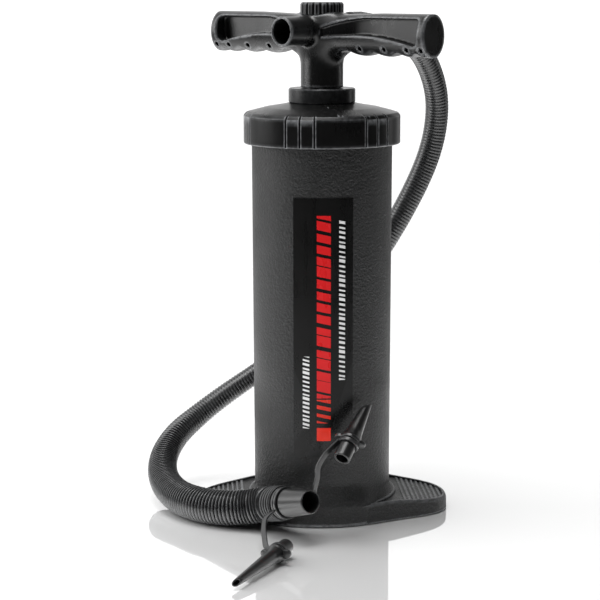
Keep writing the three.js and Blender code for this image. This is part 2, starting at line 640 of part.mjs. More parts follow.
const wideGroup = adapterGroup(WIDE, 0.35);
const slimGroup = adapterGroup(SLIM, 0.1);
place(wideGroup, 'adapter_wide', buildAdapter(
  WIDE.mouth.distanceTo(WIDE.tip), WIDE.socket, WIDE.cone, WIDE.end,
), ROD_BLACK);
place(slimGroup, 'adapter_slim', buildAdapter(
  SLIM.mouth.distanceTo(SLIM.tip), SLIM.socket, SLIM.cone, SLIM.end,
), ROD_BLACK);

place(nozzle, 'tether_wide', buildTether(8.7, WIDE, wideGroup, [
  onRing(9.9, layPoint(0.7, 0.6, 0.1)), layPoint(-9.6, -69, 27.5), layPoint(-5.8, -76, 31.5),
  layPoint(-4.8, -81, 38), layPoint(-3.2, -82.5, 45), layPoint(-2.6, -83.5, 53),
  layPoint(2.2, -81, 61), onLoop(WIDE, layPoint(-1, 0, 0.3)),
], 18), ROD_BLACK);
place(nozzle, 'tether_slim', buildTether(5.9, SLIM, slimGroup, [
  onRing(7.1, layPoint(-0.7, -0.6, -0.3)), layPoint(-39, -86, 17), layPoint(-40, -98, 13),
  layPoint(-39, -112, 9.6), layPoint(-37.6, -124, 8.4), onLoop(SLIM, layPoint(-1, 0.5, 0.2)),
], 18), ROD_BLACK);

export default model;
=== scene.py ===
"""Double action hand pump: the finished surfaces, their materials and a plain studio.

Laid out as an add-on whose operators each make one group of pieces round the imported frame.
"""
import json
import math

import bpy
import numpy as np
from bpy.props import FloatProperty, FloatVectorProperty, IntProperty, PointerProperty
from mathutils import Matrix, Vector

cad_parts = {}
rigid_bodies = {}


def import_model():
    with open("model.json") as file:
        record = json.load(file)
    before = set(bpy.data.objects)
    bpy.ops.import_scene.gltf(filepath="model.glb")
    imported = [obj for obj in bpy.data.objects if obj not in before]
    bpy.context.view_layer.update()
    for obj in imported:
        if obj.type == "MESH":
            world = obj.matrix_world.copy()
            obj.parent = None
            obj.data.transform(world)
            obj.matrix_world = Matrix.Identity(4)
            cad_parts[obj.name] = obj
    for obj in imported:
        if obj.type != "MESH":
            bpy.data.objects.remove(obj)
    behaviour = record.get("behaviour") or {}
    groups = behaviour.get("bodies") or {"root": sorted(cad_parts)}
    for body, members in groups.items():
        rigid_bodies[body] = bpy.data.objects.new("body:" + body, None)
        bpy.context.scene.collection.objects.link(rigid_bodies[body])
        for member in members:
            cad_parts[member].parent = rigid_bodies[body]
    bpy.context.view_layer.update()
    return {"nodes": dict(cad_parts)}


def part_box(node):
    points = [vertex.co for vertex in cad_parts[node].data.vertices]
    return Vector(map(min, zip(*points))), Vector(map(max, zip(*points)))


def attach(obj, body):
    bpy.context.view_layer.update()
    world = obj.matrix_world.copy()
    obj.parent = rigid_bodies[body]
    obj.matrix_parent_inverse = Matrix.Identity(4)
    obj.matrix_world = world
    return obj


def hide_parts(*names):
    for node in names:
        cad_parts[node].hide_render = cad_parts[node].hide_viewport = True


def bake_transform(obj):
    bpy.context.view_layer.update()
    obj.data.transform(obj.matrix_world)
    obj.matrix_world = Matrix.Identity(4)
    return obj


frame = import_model()

bl_info = {
    "name": "Double action hand pump",
    "version": (1, 0, 0),
    "blender": (4, 5, 0),
    "location": "View3D > Sidebar > Hand pump",
    "description": "Builds the hand pump's surfaces, hose, handle and studio piece by piece",
    "category": "Object",
}

MM = 0.001
TAU = 2 * math.pi
LAY_TURN = math.radians(44.0)     # the loose hose lies in a frame turned this far from the grips
FOOT_TURN = math.radians(48.0)    # the foot plate's long axis from the grips' axis
LABEL_TURN = math.radians(45.0)
CAP_TURN = math.radians(28.0)

EYE = (0.910, -0.9423, 0.3843)    # camera, in metres
EYE_TILT = math.radians(90 - 9.89)
EYE_TURN = math.radians(44)
LENS, SENSOR = 109.6, 36.0
FRAME_SHIFT = -0.03667            # sideways, as a share of the frame's width


def top_of(node):
    """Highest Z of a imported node, in millimetres."""
    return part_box(node)[1].z / MM


def low_of(node):
    """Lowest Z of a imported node, in millimetres."""
    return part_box(node)[0].z / MM


BARREL_TOP = top_of("barrel")
CAP_LOW = low_of("cap")
COLLAR_TOP = top_of("gland_collar")
GRIP_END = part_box("handle")[1].x / MM
PORT_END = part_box("handle")[1].y / MM
KNOB_TOP = top_of("hub_knob")
PORT_Z = (low_of("hose_upper_cuff") + top_of("hose_upper_cuff")) / 2


# ---- settings ---------------------------------------------------------------------------
class PumpSizes(bpy.types.PropertyGroup):
    barrel_low: FloatProperty(name="Cylinder radius at the foot",
                              description="Outer radius just above the foot, mm", default=49.4)
    barrel_high: FloatProperty(name="Cylinder radius at the top",
                               description="Outer radius under the cap, mm", default=50.4)
    pad_ribs: IntProperty(name="Tread ribs", description="Ribs on each foot pad", default=9, min=1, max=20)
    grip_half: FloatProperty(name="Grip half width",
                             description="Half of the grip's front-to-back width, mm", default=11.9)
    knob_flutes: IntProperty(name="Knob flutes", description="Flutes round the hub knob", default=18, min=6,
                             max=40)


class PumpHose(bpy.types.PropertyGroup):
    pitch: FloatProperty(name="Rib pitch", description="Distance from one rib of the hose to the next, mm",
                         default=2.5)
    rib: FloatProperty(name="Rib height", description="Depth of the groove between two ribs, mm",
                       default=1.55)
    slim: FloatProperty(name="Slim radius", description="Outer radius near the handle, mm", default=8.9)
    wide: FloatProperty(name="Wide radius", description="Outer radius near the nozzle, mm", default=12.7)


class PumpFinish(bpy.types.PropertyGroup):
    moulded: FloatVectorProperty(name="Moulded grey",
                                 description="Grained plastic of the cylinder and handle", subtype="COLOR",
                                 size=3, default=(0.0048, 0.0050, 0.0051))
    cap: FloatVectorProperty(name="Cap black", description="Plastic of the cap, collar and knob",
                             subtype="COLOR", size=3, default=(0.0040, 0.0040, 0.0041))
    hose: FloatVectorProperty(name="Hose black", description="Flexible plastic of the hose",
                              subtype="COLOR", size=3, default=(0.0080, 0.0082, 0.0084))
    red: FloatVectorProperty(name="Label red", description="Printed bars", subtype="COLOR", size=3,
                             default=(0.60, 0.011, 0.013))
    floor: FloatVectorProperty(name="Floor", description="Studio floor", subtype="COLOR", size=3,
                               default=(0.76, 0.76, 0.76))


# ---- surfaces ---------------------------------------------------------------------------
def surface(name, points, wrap_u=False, wrap_v=True, cap_start=False, cap_end=False, uv=None, sharp=38.0):
    """Mesh over a grid of points (m, n, 3) in metres: rows run along u and columns round v.

    A cap closes an end row onto the row's mean point. The closed mesh is turned so that its
    signed volume, the sum of a.(b x c)/6 over its triangles, is positive.
    """
    m, n = points.shape[:2]
    verts = points.reshape(-1, 3)
    iu = np.arange(m if wrap_u else m - 1)
    iv = np.arange(n if wrap_v else n - 1)
    a, b = np.meshgrid(iu, iv, indexing="ij")
    a2, b2 = (a + 1) % m, (b + 1) % n
    quads = np.stack([a * n + b, a * n + b2, a2 * n + b2, a2 * n + b], -1).reshape(-1, 4)
    tris = []
    for wanted, row in ((cap_start, 0), (cap_end, m - 1)):
        if not wanted:
            continue
        centre = len(verts)
        verts = np.vstack([verts, points[row].mean(0)[None]])
        j = np.arange(n)
        k = (j + 1) % n
        first, second = (k, j) if row == 0 else (j, k)
        tris.append(np.stack([np.full(n, centre), row * n + first, row * n + second], -1))
    tri = np.vstack(tris) if tris else np.zeros((0, 3), int)
    closed = (wrap_u or (cap_start and cap_end)) and wrap_v
    if closed:
        allt = np.vstack([quads[:, [0, 1, 2]], quads[:, [0, 2, 3]], tri])
        p = verts[allt]
        if np.einsum("ij,ij->", p[:, 0], np.cross(p[:, 1], p[:, 2])) < 0:
            quads, tri = quads[:, ::-1], tri[:, ::-1]
    return mesh_from(name, verts, quads, tri, uv=uv, sharp=sharp)


def mesh_from(name, verts, quads, tri=None, uv=None, sharp=38.0):
    """Object from vertex, quad and triangle arrays, shaded smooth with edges sharper than
    the given angle kept crisp. uv gives one coordinate pair per grid vertex."""
    tri = np.zeros((0, 3), int) if tri is None else tri
    mesh = bpy.data.meshes.new(name)
    loops = np.concatenate([quads.reshape(-1), tri.reshape(-1)]).astype(np.int32)
    starts = np.concatenate([np.arange(len(quads)) * 4,
                             len(quads) * 4 + np.arange(len(tri)) * 3]).astype(np.int32)
    mesh.vertices.add(len(verts))
    mesh.vertices.foreach_set("co", np.ascontiguousarray(verts, np.float32).reshape(-1))
    mesh.loops.add(len(loops))
    mesh.loops.foreach_set("vertex_index", loops)
    mesh.polygons.add(len(starts))
    mesh.polygons.foreach_set("loop_start", starts)
    mesh.update(calc_edges=True)
    mesh.validate()
    if uv is not None:
        layer = mesh.uv_layers.new(name="UVMap")
        index = np.zeros(len(mesh.loops), np.int32)
        mesh.loops.foreach_get("vertex_index", index)
        flat = np.vstack([uv.reshape(-1, 2), np.zeros((len(verts) - uv.size // 2, 2))])
        layer.data.foreach_set("uv", flat[index].astype(np.float32).reshape(-1))
    mesh.shade_smooth()
    mesh.set_sharp_from_angle(angle=math.radians(sharp))
    obj = bpy.data.objects.new(name, mesh)
    bpy.context.scene.collection.objects.link(obj)
    return obj


def rounded(profile, radius=0.6, steps=4, closed=False):
    """Profile with each corner replaced by a quadratic arc that starts and ends a given
    distance from the corner along its two sides, but never past a third of a side."""
    p = np.array(profile, float)
    count = len(p)
    out = []
    for i in range(count):
        if not closed and i in (0, count - 1):
            out.append(p[i][None])
            continue
        before, after = p[i - 1] - p[i], p[(i + 1) % count] - p[i]
        la, lb = np.linalg.norm(before), np.linalg.norm(after)
        a = p[i] + before / la * min(radius, la / 3)
        b = p[i] + after / lb * min(radius, lb / 3)
        t = np.linspace(0, 1, steps + 1)[:, None]
        out.append((1 - t) ** 2 * a + 2 * t * (1 - t) * p[i] + t ** 2 * b)
    return np.vstack(out)


def square(left, right, low, high):
    """Corners of a rectangular section, anticlockwise."""
    return [(left, low), (right, low), (right, high), (left, high)]


def refined(profile, step, closed=False):
    """Profile with extra points so that no side is longer than step."""
    p = np.asarray(profile, float)
    nxt = np.roll(p, -1, 0) if closed else p[1:]
    here = p if closed else p[:-1]
    parts = []
    for a, b in zip(here, nxt):
        k = max(1, int(np.ceil(np.linalg.norm(b - a) / step)))
        parts.append(a + (b - a) * (np.arange(k) / k)[:, None])
    if not closed:
        parts.append(p[-1:])
    return np.vstack(parts)


def revolved(name, profile, sides=96, closed=False, shape=None, sharp=38.0, place=None):
    """Surface of revolution about Z: each profile point (r, z) goes round as
    (r sin t, -r cos t, z). shape(t, r, z) may change r and z with the angle; place moves the
    finished points. Profiles that are not closed on themselves are capped on the axis."""
    p = np.asarray(profile, float)
    t = np.linspace(0, TAU, sides, endpoint=False)
    r = np.repeat(p[:, 0][:, None], sides, 1)
    z = np.repeat(p[:, 1][:, None], sides, 1)
    if shape is not None:
        r, z = shape(t[None, :], r, z)
    pts = np.stack([r * np.sin(t), -r * np.cos(t), z], -1) * MM
    if place is not None:
        pts = place(pts)
    return surface(name, pts, wrap_u=closed, cap_start=not closed, cap_end=not closed, sharp=sharp)


def turned_ring(name, rows, radius, sides, place=None):
    """Ring turned from a closed section (r, z) whose corners are rounded by radius."""
    return revolved(name, rounded(rows, radius, closed=True), sides, closed=True, place=place)


def turned_by(angle):
    """Places points turned by an angle about +Z, from +X towards +Y."""
    c, s = math.cos(angle), math.sin(angle)
    rot = np.array([[c, s, 0], [-s, c, 0], [0, 0, 1]])
    return lambda pts: pts @ rot


def along_axis(origin, direction, up=(0, 0, 1), roll=0.0):
    """Places points whose own +Z is to run along direction from origin (both in metres)."""
    w = np.array(direction, float)
    w /= np.linalg.norm(w)
    u = np.cross(np.array(up, float), w)
    u /= np.linalg.norm(u)
    v = np.cross(w, u)
    c, s = math.cos(roll), math.sin(roll)
    u, v = u * c + v * s, v * c - u * s
    return lambda pts: np.asarray(origin) + pts[..., :1] * u + pts[..., 1:2] * v + pts[..., 2:] * w


def smooth(x, lo, hi):
    """Smoothstep: 0 below lo, 1 above hi, and 3t^2 - 2t^3 between."""
    t = np.clip((x - lo) / (hi - lo), 0, 1)
    return t * t * (3 - 2 * t)


def catmull(points, per=24):
    """Centripetal Catmull-Rom curve through the points: on each span, a Hermite cubic whose
    end slopes come from neighbours spaced by the square root of their distance."""
    p = np.asarray(points, float)
    p = np.vstack([2 * p[0] - p[1], p, 2 * p[-1] - p[-2]])
    d = np.maximum(np.linalg.norm(np.diff(p, axis=0), axis=1) ** 0.5, 1e-6)
    t = (np.arange(per) / per)[None, :, None]
    p0, p1, p2, p3 = p[:-3], p[1:-2], p[2:-1], p[3:]
    d0, d1, d2 = d[:-2, None], d[1:-1, None], d[2:, None]
    m1 = ((p1 - p0) / d0 - (p2 - p0) / (d0 + d1) + (p2 - p1) / d1) * d1
    m2 = ((p2 - p1) / d1 - (p3 - p1) / (d1 + d2) + (p3 - p2) / d2) * d1
    a, b, c, e = p1[:, None], p2[:, None], m1[:, None], m2[:, None]
    h = ((2 * t**3 - 3 * t**2 + 1) * a + (t**3 - 2 * t**2 + t) * c
         + (3 * t**2 - 2 * t**3) * b + (t**3 - t**2) * e)
    return np.vstack([h.reshape(-1, 3), p[-2][None]])


def evenly(path, step):
    """Path resampled at equal distances, with its own total length."""
    run = np.concatenate([[0], np.cumsum(np.linalg.norm(np.diff(path, axis=0), axis=1))])
    k = max(2, int(round(run[-1] / step)))
    s = np.linspace(0, run[-1], k + 1)
    return np.stack([np.interp(s, run, path[:, i]) for i in range(3)], -1), s


def carried(path, start_side):
    """Frames along a path: each side vector is the last one less its part along the new
    tangent, so that the section never twists."""
    tang = np.gradient(path, axis=0)
    tang /= np.linalg.norm(tang, axis=1)[:, None]
    side = np.zeros_like(path)
    v = np.array(start_side, float)
    for i, w in enumerate(tang):
        v = v - w * (v @ w)
        v = v / np.linalg.norm(v)
        side[i] = v
    return tang, side, np.cross(tang, side)


def swept(name, path, section, start_side=(0, 0, 1), scale=None, sharp=38.0):
    """Closed section (k, 2) in metres carried along a path; scale gives each ring's size."""
    _, a, b = carried(path, start_side)
    size = np.ones(len(path)) if scale is None else scale
    sec = np.asarray(section, float)
    offset = sec[None, :, :1] * a[:, None] + sec[None, :, 1:] * b[:, None]
    pts = path[:, None] + size[:, None, None] * offset
    return surface(name, pts, cap_start=True, cap_end=True, sharp=sharp)


def level_surface(name, field, lo, hi, step):
    """Surface where a field is zero, over a box in millimetres: one vertex in each grid cell
    that the surface crosses, at the mean of its edge crossings, and one quad per crossed edge."""
    axes = [np.arange(a, b + step, step) for a, b in zip(lo, hi)]
    x, y, z = np.meshgrid(*axes, indexing="ij")
    f = field(x, y, z)
    grid = np.stack([x, y, z], -1)
    inside = f < 0
    shape = tuple(s - 1 for s in f.shape)
    total, hits = np.zeros(shape + (3,)), np.zeros(shape)
    for axis in range(3):
        one = [slice(None)] * 3
        two = [slice(None)] * 3
        one[axis], two[axis] = slice(0, -1), slice(1, None)
        fa, fb = f[tuple(one)], f[tuple(two)]
        cross = inside[tuple(one)] != inside[tuple(two)]
        w = np.where(cross, fa / np.where(cross, fa - fb, 1), 0)[..., None]
        at = grid[tuple(one)] * (1 - w) + grid[tuple(two)] * w
        others = [k for k in range(3) if k != axis]
        for du in (0, 1):
            for dv in (0, 1):
                pick = [slice(None)] * 3
                pick[others[0]] = slice(du, f.shape[others[0]] - 1 + du)
                pick[others[1]] = slice(dv, f.shape[others[1]] - 1 + dv)
                c = cross[tuple(pick)]
                total += np.where(c[..., None], at[tuple(pick)], 0)
                hits += c
    used = hits > 0
    number = np.full(shape, -1)
    number[used] = np.arange(used.sum())
    verts = total[used] / hits[used][:, None]
    quads = []
    for axis in range(3):
        one = [slice(1, -1)] * 3
        two = [slice(1, -1)] * 3
        one[axis], two[axis] = slice(0, -1), slice(1, None)
        a_in, b_in = inside[tuple(one)], inside[tuple(two)]
        at = np.argwhere(a_in != b_in)
        flip = a_in[tuple(at.T)]
        at = at + np.array([0 if k == axis else 1 for k in range(3)])
        u, v = [k for k in range(3) if k != axis]
        eu, ev = np.eye(3, dtype=int)[u], np.eye(3, dtype=int)[v]
        ring = [at - eu - ev, at - ev, at, at - eu]
        q = np.stack([number[tuple(c.T)] for c in ring], -1)
        if axis == 1:
            flip = ~flip
        q[~flip] = q[~flip][:, ::-1]
        quads.append(q)
    return mesh_from(name, verts * MM, np.vstack(quads), sharp=60.0)


def blend_min(a, b, k):
    """Smooth minimum of two distances: the lesser, less h^2 k / 4 where they are within k."""
    h = np.maximum(k - np.abs(a - b), 0) / k
    return np.minimum(a, b) - h * h * k / 4


def shaded(obj, sharp):
    """Shades an object smooth, with edges sharper than an angle in degrees kept crisp."""
    obj.data.shade_smooth()
    obj.data.set_sharp_from_angle(angle=math.radians(sharp))


def applied(obj):
    """Replaces an object's mesh by what its modifiers make of it."""
    graph = bpy.context.evaluated_depsgraph_get()
    made = bpy.data.meshes.new_from_object(obj.evaluated_get(graph))
    old = obj.data
    obj.modifiers.clear()
    obj.data = made
    bpy.data.meshes.remove(old)
    return obj


def joined(name, parts):
    """One object from several separate closed shells of the same moulding."""
    for obj in bpy.context.view_layer.objects:
        obj.select_set(obj in parts)
    bpy.context.view_layer.objects.active = parts[0]
    bpy.ops.object.join()
    parts[0].name = name
    parts[0].data.name = name
    parts[0].select_set(False)
    return parts[0]


def settle(obj, material, body, slot, *nodes):
    """Gives a finished piece its material and body, and hides the nodes it stands for. The slot is not
    used.
    """
    obj.data.materials.clear()
    obj.data.materials.append(material)
    if body is not None:
        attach(obj, body)
    if nodes:
        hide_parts(*nodes)
    return obj


# ---- shader groups ----------------------------------------------------------------------
def group(name, inputs, outputs):
    """New node group with named sockets: (name, default) for inputs, and names of the values
    that it gives out.
    Returns the tree, a node maker and the two end nodes."""
    tree = bpy.data.node_groups.new(name, "ShaderNodeTree")
    for title, default in inputs:
        kind = "NodeSocketVector" if default == "vector" else "NodeSocketFloat"
        socket = tree.interface.new_socket(name=title, in_out="INPUT", socket_type=kind)
        if default != "vector":
            socket.default_value = default
    for title in outputs:
        tree.interface.new_socket(name=title, in_out="OUTPUT", socket_type="NodeSocketFloat")
    make = maker(tree)
    return tree, make, make("NodeGroupInput"), make("NodeGroupOutput")


def maker(tree):
    """Node maker for a tree, told the kind without its ShaderNode prefix: sets properties by
    keyword, and inputs by name or index to a value or a link."""
    def make(kind, inputs=(), **props):
        node = tree.nodes.new(kind if kind.startswith("NodeGroup") else "ShaderNode" + kind)
        for key, value in props.items():
            setattr(node, key, value)
        for key, value in dict(inputs).items():
            if isinstance(value, bpy.types.NodeSocket):
                tree.links.new(value, node.inputs[key])
            else:
                node.inputs[key].default_value = value
        return node
    return make


def maths(make, operation, *values):
    """Output of a math node."""
    return make("Math", dict(enumerate(values)), operation=operation).outputs[0]


def times(make, a, b):
    """Product of two values."""
    return maths(make, "MULTIPLY", a, b)


def plus(make, a, b):
    """Sum of two values."""
    return maths(make, "ADD", a, b)


def ramp(make, value, lo, hi, to_lo=0.0, to_hi=1.0):
    """Value mapped from one range to another, smoothly and clamped."""
    node = make("MapRange", {"Value": value, "From Min": lo, "From Max": hi, "To Min": to_lo,
                             "To Max": to_hi}, interpolation_type="SMOOTHSTEP")
    return node.outputs["Result"]


def mixed(make, factor, a, b):
    """Colour mixed from a to b by a factor."""
    node = make("Mix", data_type="RGBA")
    for index, value in ((0, factor), (6, a), (7, b)):
        if isinstance(value, bpy.types.NodeSocket):
            node.id_data.links.new(value, node.inputs[index])
        else:
            colour = isinstance(value, (tuple, list)) and len(value) == 3
            node.inputs[index].default_value = (*value, 1.0) if colour else value
    return node.outputs[2]


def build_groups():
    """The effects that several finishes share: moulding grain, handling marks, painted edge
    highlights, settled dust and a printed block."""
    tree, make, i, o = group("Moulding grain", [
        ("Place", "vector"), ("Grain per metre", 1500.0), ("Speckle share", 0.12)],
        ["Height", "Speckle"])
    fine = make("TexNoise", {"Vector": i.outputs[0], "Scale": i.outputs[1], "Detail": 2.0,
                             "Roughness": 0.6})
    half = times(make, i.outputs[1], 0.55)
    pits = make("TexVoronoi", {"Vector": i.outputs[0], "Scale": half})
    height = plus(make, fine.outputs[0], times(make, pits.outputs["Distance"], 0.6))
    tree.links.new(height, o.inputs[0])
    low = maths(make, "SUBTRACT", 0.72, i.outputs[2])
    node = make("MapRange", {"Value": fine.outputs[0], "From Min": low, "From Max": 0.78})
    tree.links.new(node.outputs[0], o.inputs[1])

    tree, make, i, o = group("Handling marks", [
        ("Place", "vector"), ("Patch per metre", 22.0), ("Smooth", 0.3), ("Matt", 0.5)],
        ["Roughness", "Patch"])
    wide = make("TexNoise", {"Vector": i.outputs[0], "Scale": i.outputs[1], "Detail": 4.0,
                             "Roughness": 0.55})
    stretch = make("Mapping", {"Vector": i.outputs[0], "Scale": (1.0, 1.0, 0.12)})
    swipe = make("TexNoise", {"Vector": stretch.outputs[0], "Scale": 260.0, "Detail": 2.0})
    patch = plus(make, times(make, wide.outputs[0], 0.75), times(make, swipe.outputs[0], 0.25))
    rough = make("MapRange", {"Value": patch, "From Min": 0.35, "From Max": 0.65, "To Min": i.outputs[2],
                              "To Max": i.outputs[3]})
    tree.links.new(rough.outputs[0], o.inputs[0])
    tree.links.new(patch, o.inputs[1])

    # Painted edge highlight: a pale line painted on sharp edges by pointiness, standing in for light caught
    # on rounded rims
    tree, make, i, o = group("Painted edge highlight", [("Place", "vector"), ("Break-up per metre", 300.0),
            ("Reach", 0.03)], ["Edge"])
    geo = make("NewGeometry")
    above = plus(make, 0.5, i.outputs[2])
    edge = make("MapRange", {"Value": geo.outputs["Pointiness"], "From Min": 0.505, "From Max": above})
    noise = make("TexNoise", {"Vector": i.outputs[0], "Scale": i.outputs[1], "Detail": 3.0})
    tree.links.new(times(make, edge.outputs[0], ramp(make, noise.outputs[0], 0.3, 0.6, 0.45, 1.0)),
                   o.inputs[0])

    tree, make, i, o = group("Settled dust", [("Place", "vector"), ("Amount", 0.15)], ["Dust"])
    geo = make("NewGeometry")
    up = make("SeparateXYZ", {0: geo.outputs["Normal"]}).outputs[2]
    noise = make("TexNoise", {"Vector": i.outputs[0], "Scale": 420.0, "Detail": 5.0, "Roughness": 0.7})
    spots = ramp(make, noise.outputs[0], 0.45, 0.75)
    lying = times(make, ramp(make, up, 0.2, 0.95), spots)
    tree.links.new(times(make, lying, i.outputs[1]), o.inputs[0])

    tree, make, i, o = group("Printed block", [
        ("Across", 0.0), ("Along", 0.0), ("Left", 0.0), ("Right", 1.0), ("Low", 0.0), ("High", 1.0),
        ("Slant", 0.0)],
        ["Ink"])
    lean = times(make, i.outputs[0], i.outputs[6])
    along = maths(make, "SUBTRACT", i.outputs[1], lean)
    tests = [maths(make, "GREATER_THAN", i.outputs[0], i.outputs[2]),
             maths(make, "LESS_THAN", i.outputs[0], i.outputs[3]),
             maths(make, "GREATER_THAN", along, i.outputs[4]),
             maths(make, "LESS_THAN", along, i.outputs[5])]
    mask = tests[0]
    for test in tests[1:]:
        mask = times(make, mask, test)
    tree.links.new(mask, o.inputs[0])


def finish_nodes(name, roughness=0.5, specular=0.5, coat=0.0, coat_roughness=0.1, metallic=0.0):
    """Empty finish: its material, node maker, Principled shader and Object coordinates."""
    mat = bpy.data.materials.new(name)
    mat.use_nodes = True
    tree = mat.node_tree
    shader = tree.nodes["Principled BSDF"]
    shader.inputs["Roughness"].default_value = roughness
    shader.inputs["Specular IOR Level"].default_value = specular
    shader.inputs["Coat Weight"].default_value = coat
    shader.inputs["Coat Roughness"].default_value = coat_roughness
    shader.inputs["Metallic"].default_value = metallic
    make = maker(tree)
    place = make("TexCoord").outputs["Object"]
    return mat, make, shader, place


def plastic(name, colour, light, marks=(22.0, 0.3, 0.5), grain=(1500.0, 0.12, 0.2), edge=0.25, dust=0.1,
            specular=0.4, tint=0.25, bump=0.00006):
    """Moulded plastic: its colour drifts a little in patches and lightens at speckles and dust,
    and at edges with a painted highlight; its roughness follows the marks and its relief follows the grain."""
    mat, make, shader, place = finish_nodes(name, specular=specular)
    tree = mat.node_tree

    def part(title, **values):
        node = make("Group", node_tree=bpy.data.node_groups[title])
        tree.links.new(place, node.inputs["Place"])
        for key, value in values.items():
            node.inputs[key.replace("_", " ")].default_value = value
        return node

    rub = part("Handling marks", Patch_per_metre=marks[0], Smooth=marks[1], Matt=marks[2])
    tooth = part("Moulding grain", Grain_per_metre=grain[0], Speckle_share=grain[1])
    edge_highlight = part("Painted edge highlight")
    settled = part("Settled dust", Amount=dust)
    dark = tuple(c * (1 - tint) for c in colour)
    bright = tuple(c * (1 + tint) for c in colour)
    base = mixed(make, ramp(make, rub.outputs["Patch"], 0.35, 0.65), dark, bright)
    base = mixed(make, times(make, tooth.outputs["Speckle"], grain[2]), base, light)
    # painted highlight: sharp edges lightened towards a pale grey, in place of light caught on rounded rims
    base = mixed(make, times(make, edge_highlight.outputs["Edge"], edge), base,
                 tuple(min(3.2 * c, 0.9) for c in light))
    base = mixed(make, settled.outputs["Dust"], base, (0.3, 0.3, 0.29))
    tree.links.new(base, shader.inputs["Base Color"])
    tree.links.new(rub.outputs["Roughness"], shader.inputs["Roughness"])
    relief = make("Bump", {"Height": tooth.outputs["Height"], "Strength": 1.0, "Distance": bump})
    tree.links.new(relief.outputs[0], shader.inputs["Normal"])
    return mat


def label_film(sizes):
    """Printed film in label millimetres: a black panel with slanted corners, a column of red
    bars with orange ones at its foot, and two columns of thin white dashes; the rest of the
    film is clear."""
    fin = bpy.context.scene.pump_finish
    mat, make, shader, place = finish_nodes("label_film", roughness=0.3, specular=0.25)
    tree = mat.node_tree
    uv = make("TexCoord").outputs["UV"]
    split = make("SeparateXYZ", {0: uv})
    half, low, high = sizes
    across = ramp_linear(make, split.outputs[0], -half, half)
    along = ramp_linear(make, split.outputs[1], low, high)

    def block(left, right, bottom, top, slant=0.0):
        node = make("Group", {"Across": across, "Along": along, "Left": left, "Right": right, "Low": bottom,
                              "High": top, "Slant": slant},
                    node_tree=bpy.data.node_groups["Printed block"])
        return node.outputs["Ink"]

    def union(*masks):
        total = masks[0]
        for mask in masks[1:]:
            total = maths(make, "MAXIMUM", total, mask)
        return total

    far = 999.0
    tail = times(make, block(-21.2, -15.0, -far, 94.3, 1.6), block(-22, -14, 51.7, far))
    foot = times(make, block(-12.3, -5.8, 80.0, far, 2.375), block(-13, -5, 50, 72))
    black = union(block(-half - 1, half + 1, 118.7, high + 1), block(-15.1, 9.8, 86.3, 119.0),
                  block(-half - 1, -15.0, 66.8, far, -2.25), block(9.7, half + 1, 58.1, far, 2.89),
                  block(-15.1, 6.3, 69.5, 119.0, 0.56), block(6.2, 9.8, 48.9, far, 3.83),
                  tail, foot, block(-15.1, -12.2, 51.7, 72))

    def bars(left, right, bottom, top, pitch, fill, seed):
        """Column of bars of uneven lengths: one per pitch, its length from a hash of its place."""
        lean = times(make, across, 0.22)
        cell = maths(make, "DIVIDE", plus(make, along, lean), pitch)
        index = maths(make, "FLOOR", cell)
        noise = make("TexWhiteNoise", {"W": plus(make, index, seed)}, noise_dimensions="1D")
        share = plus(make, fill, times(make, noise.outputs[0], 0.35))
        on = maths(make, "LESS_THAN", maths(make, "FRACT", cell), share)
        return times(make, on, block(left, right, bottom, top))

    red = bars(-4.5, 5.3, 94, 224, 8.2, 0.62, 3.0)
    orange = union(block(-4.5, 5.3, 63, 72.5), bars(-4.5, 5.3, 76, 93, 5.7, 0.34, 9.0))
    white = union(bars(11.2, 15.6, 107, 221, 3.4, 0.34, 5.0), bars(-14.6, -9.8, 72, 124, 3.1, 0.34, 8.0))
    clear = plastic_colour(make, place, fin.moulded)
    base = mixed(make, black, clear, (0.0022, 0.0022, 0.0022))
    base = mixed(make, red, base, tuple(fin.red))
    base = mixed(make, orange, base, (0.70, 0.026, 0.011))
    base = mixed(make, white, base, (0.7, 0.7, 0.7))
    tree.links.new(base, shader.inputs["Base Color"])
    rub = make("Group", {"Place": place, "Smooth": 0.22, "Matt": 0.34},
               node_tree=bpy.data.node_groups["Handling marks"])
    tree.links.new(rub.outputs["Roughness"], shader.inputs["Roughness"])
    return mat


def ramp_linear(make, value, lo, hi):
    """Value from 0..1 stretched straight to lo..hi."""
    return plus(make, times(make, value, hi - lo), lo)


def plastic_colour(make, place, colour):
    """Colour of the moulding under the clear film, a little lighter and softly mottled."""
    noise = make("TexNoise", {"Vector": place, "Scale": 900.0, "Detail": 2.0})
    return mixed(make, noise.outputs[0], tuple(colour), tuple(c * 1.9 for c in colour))


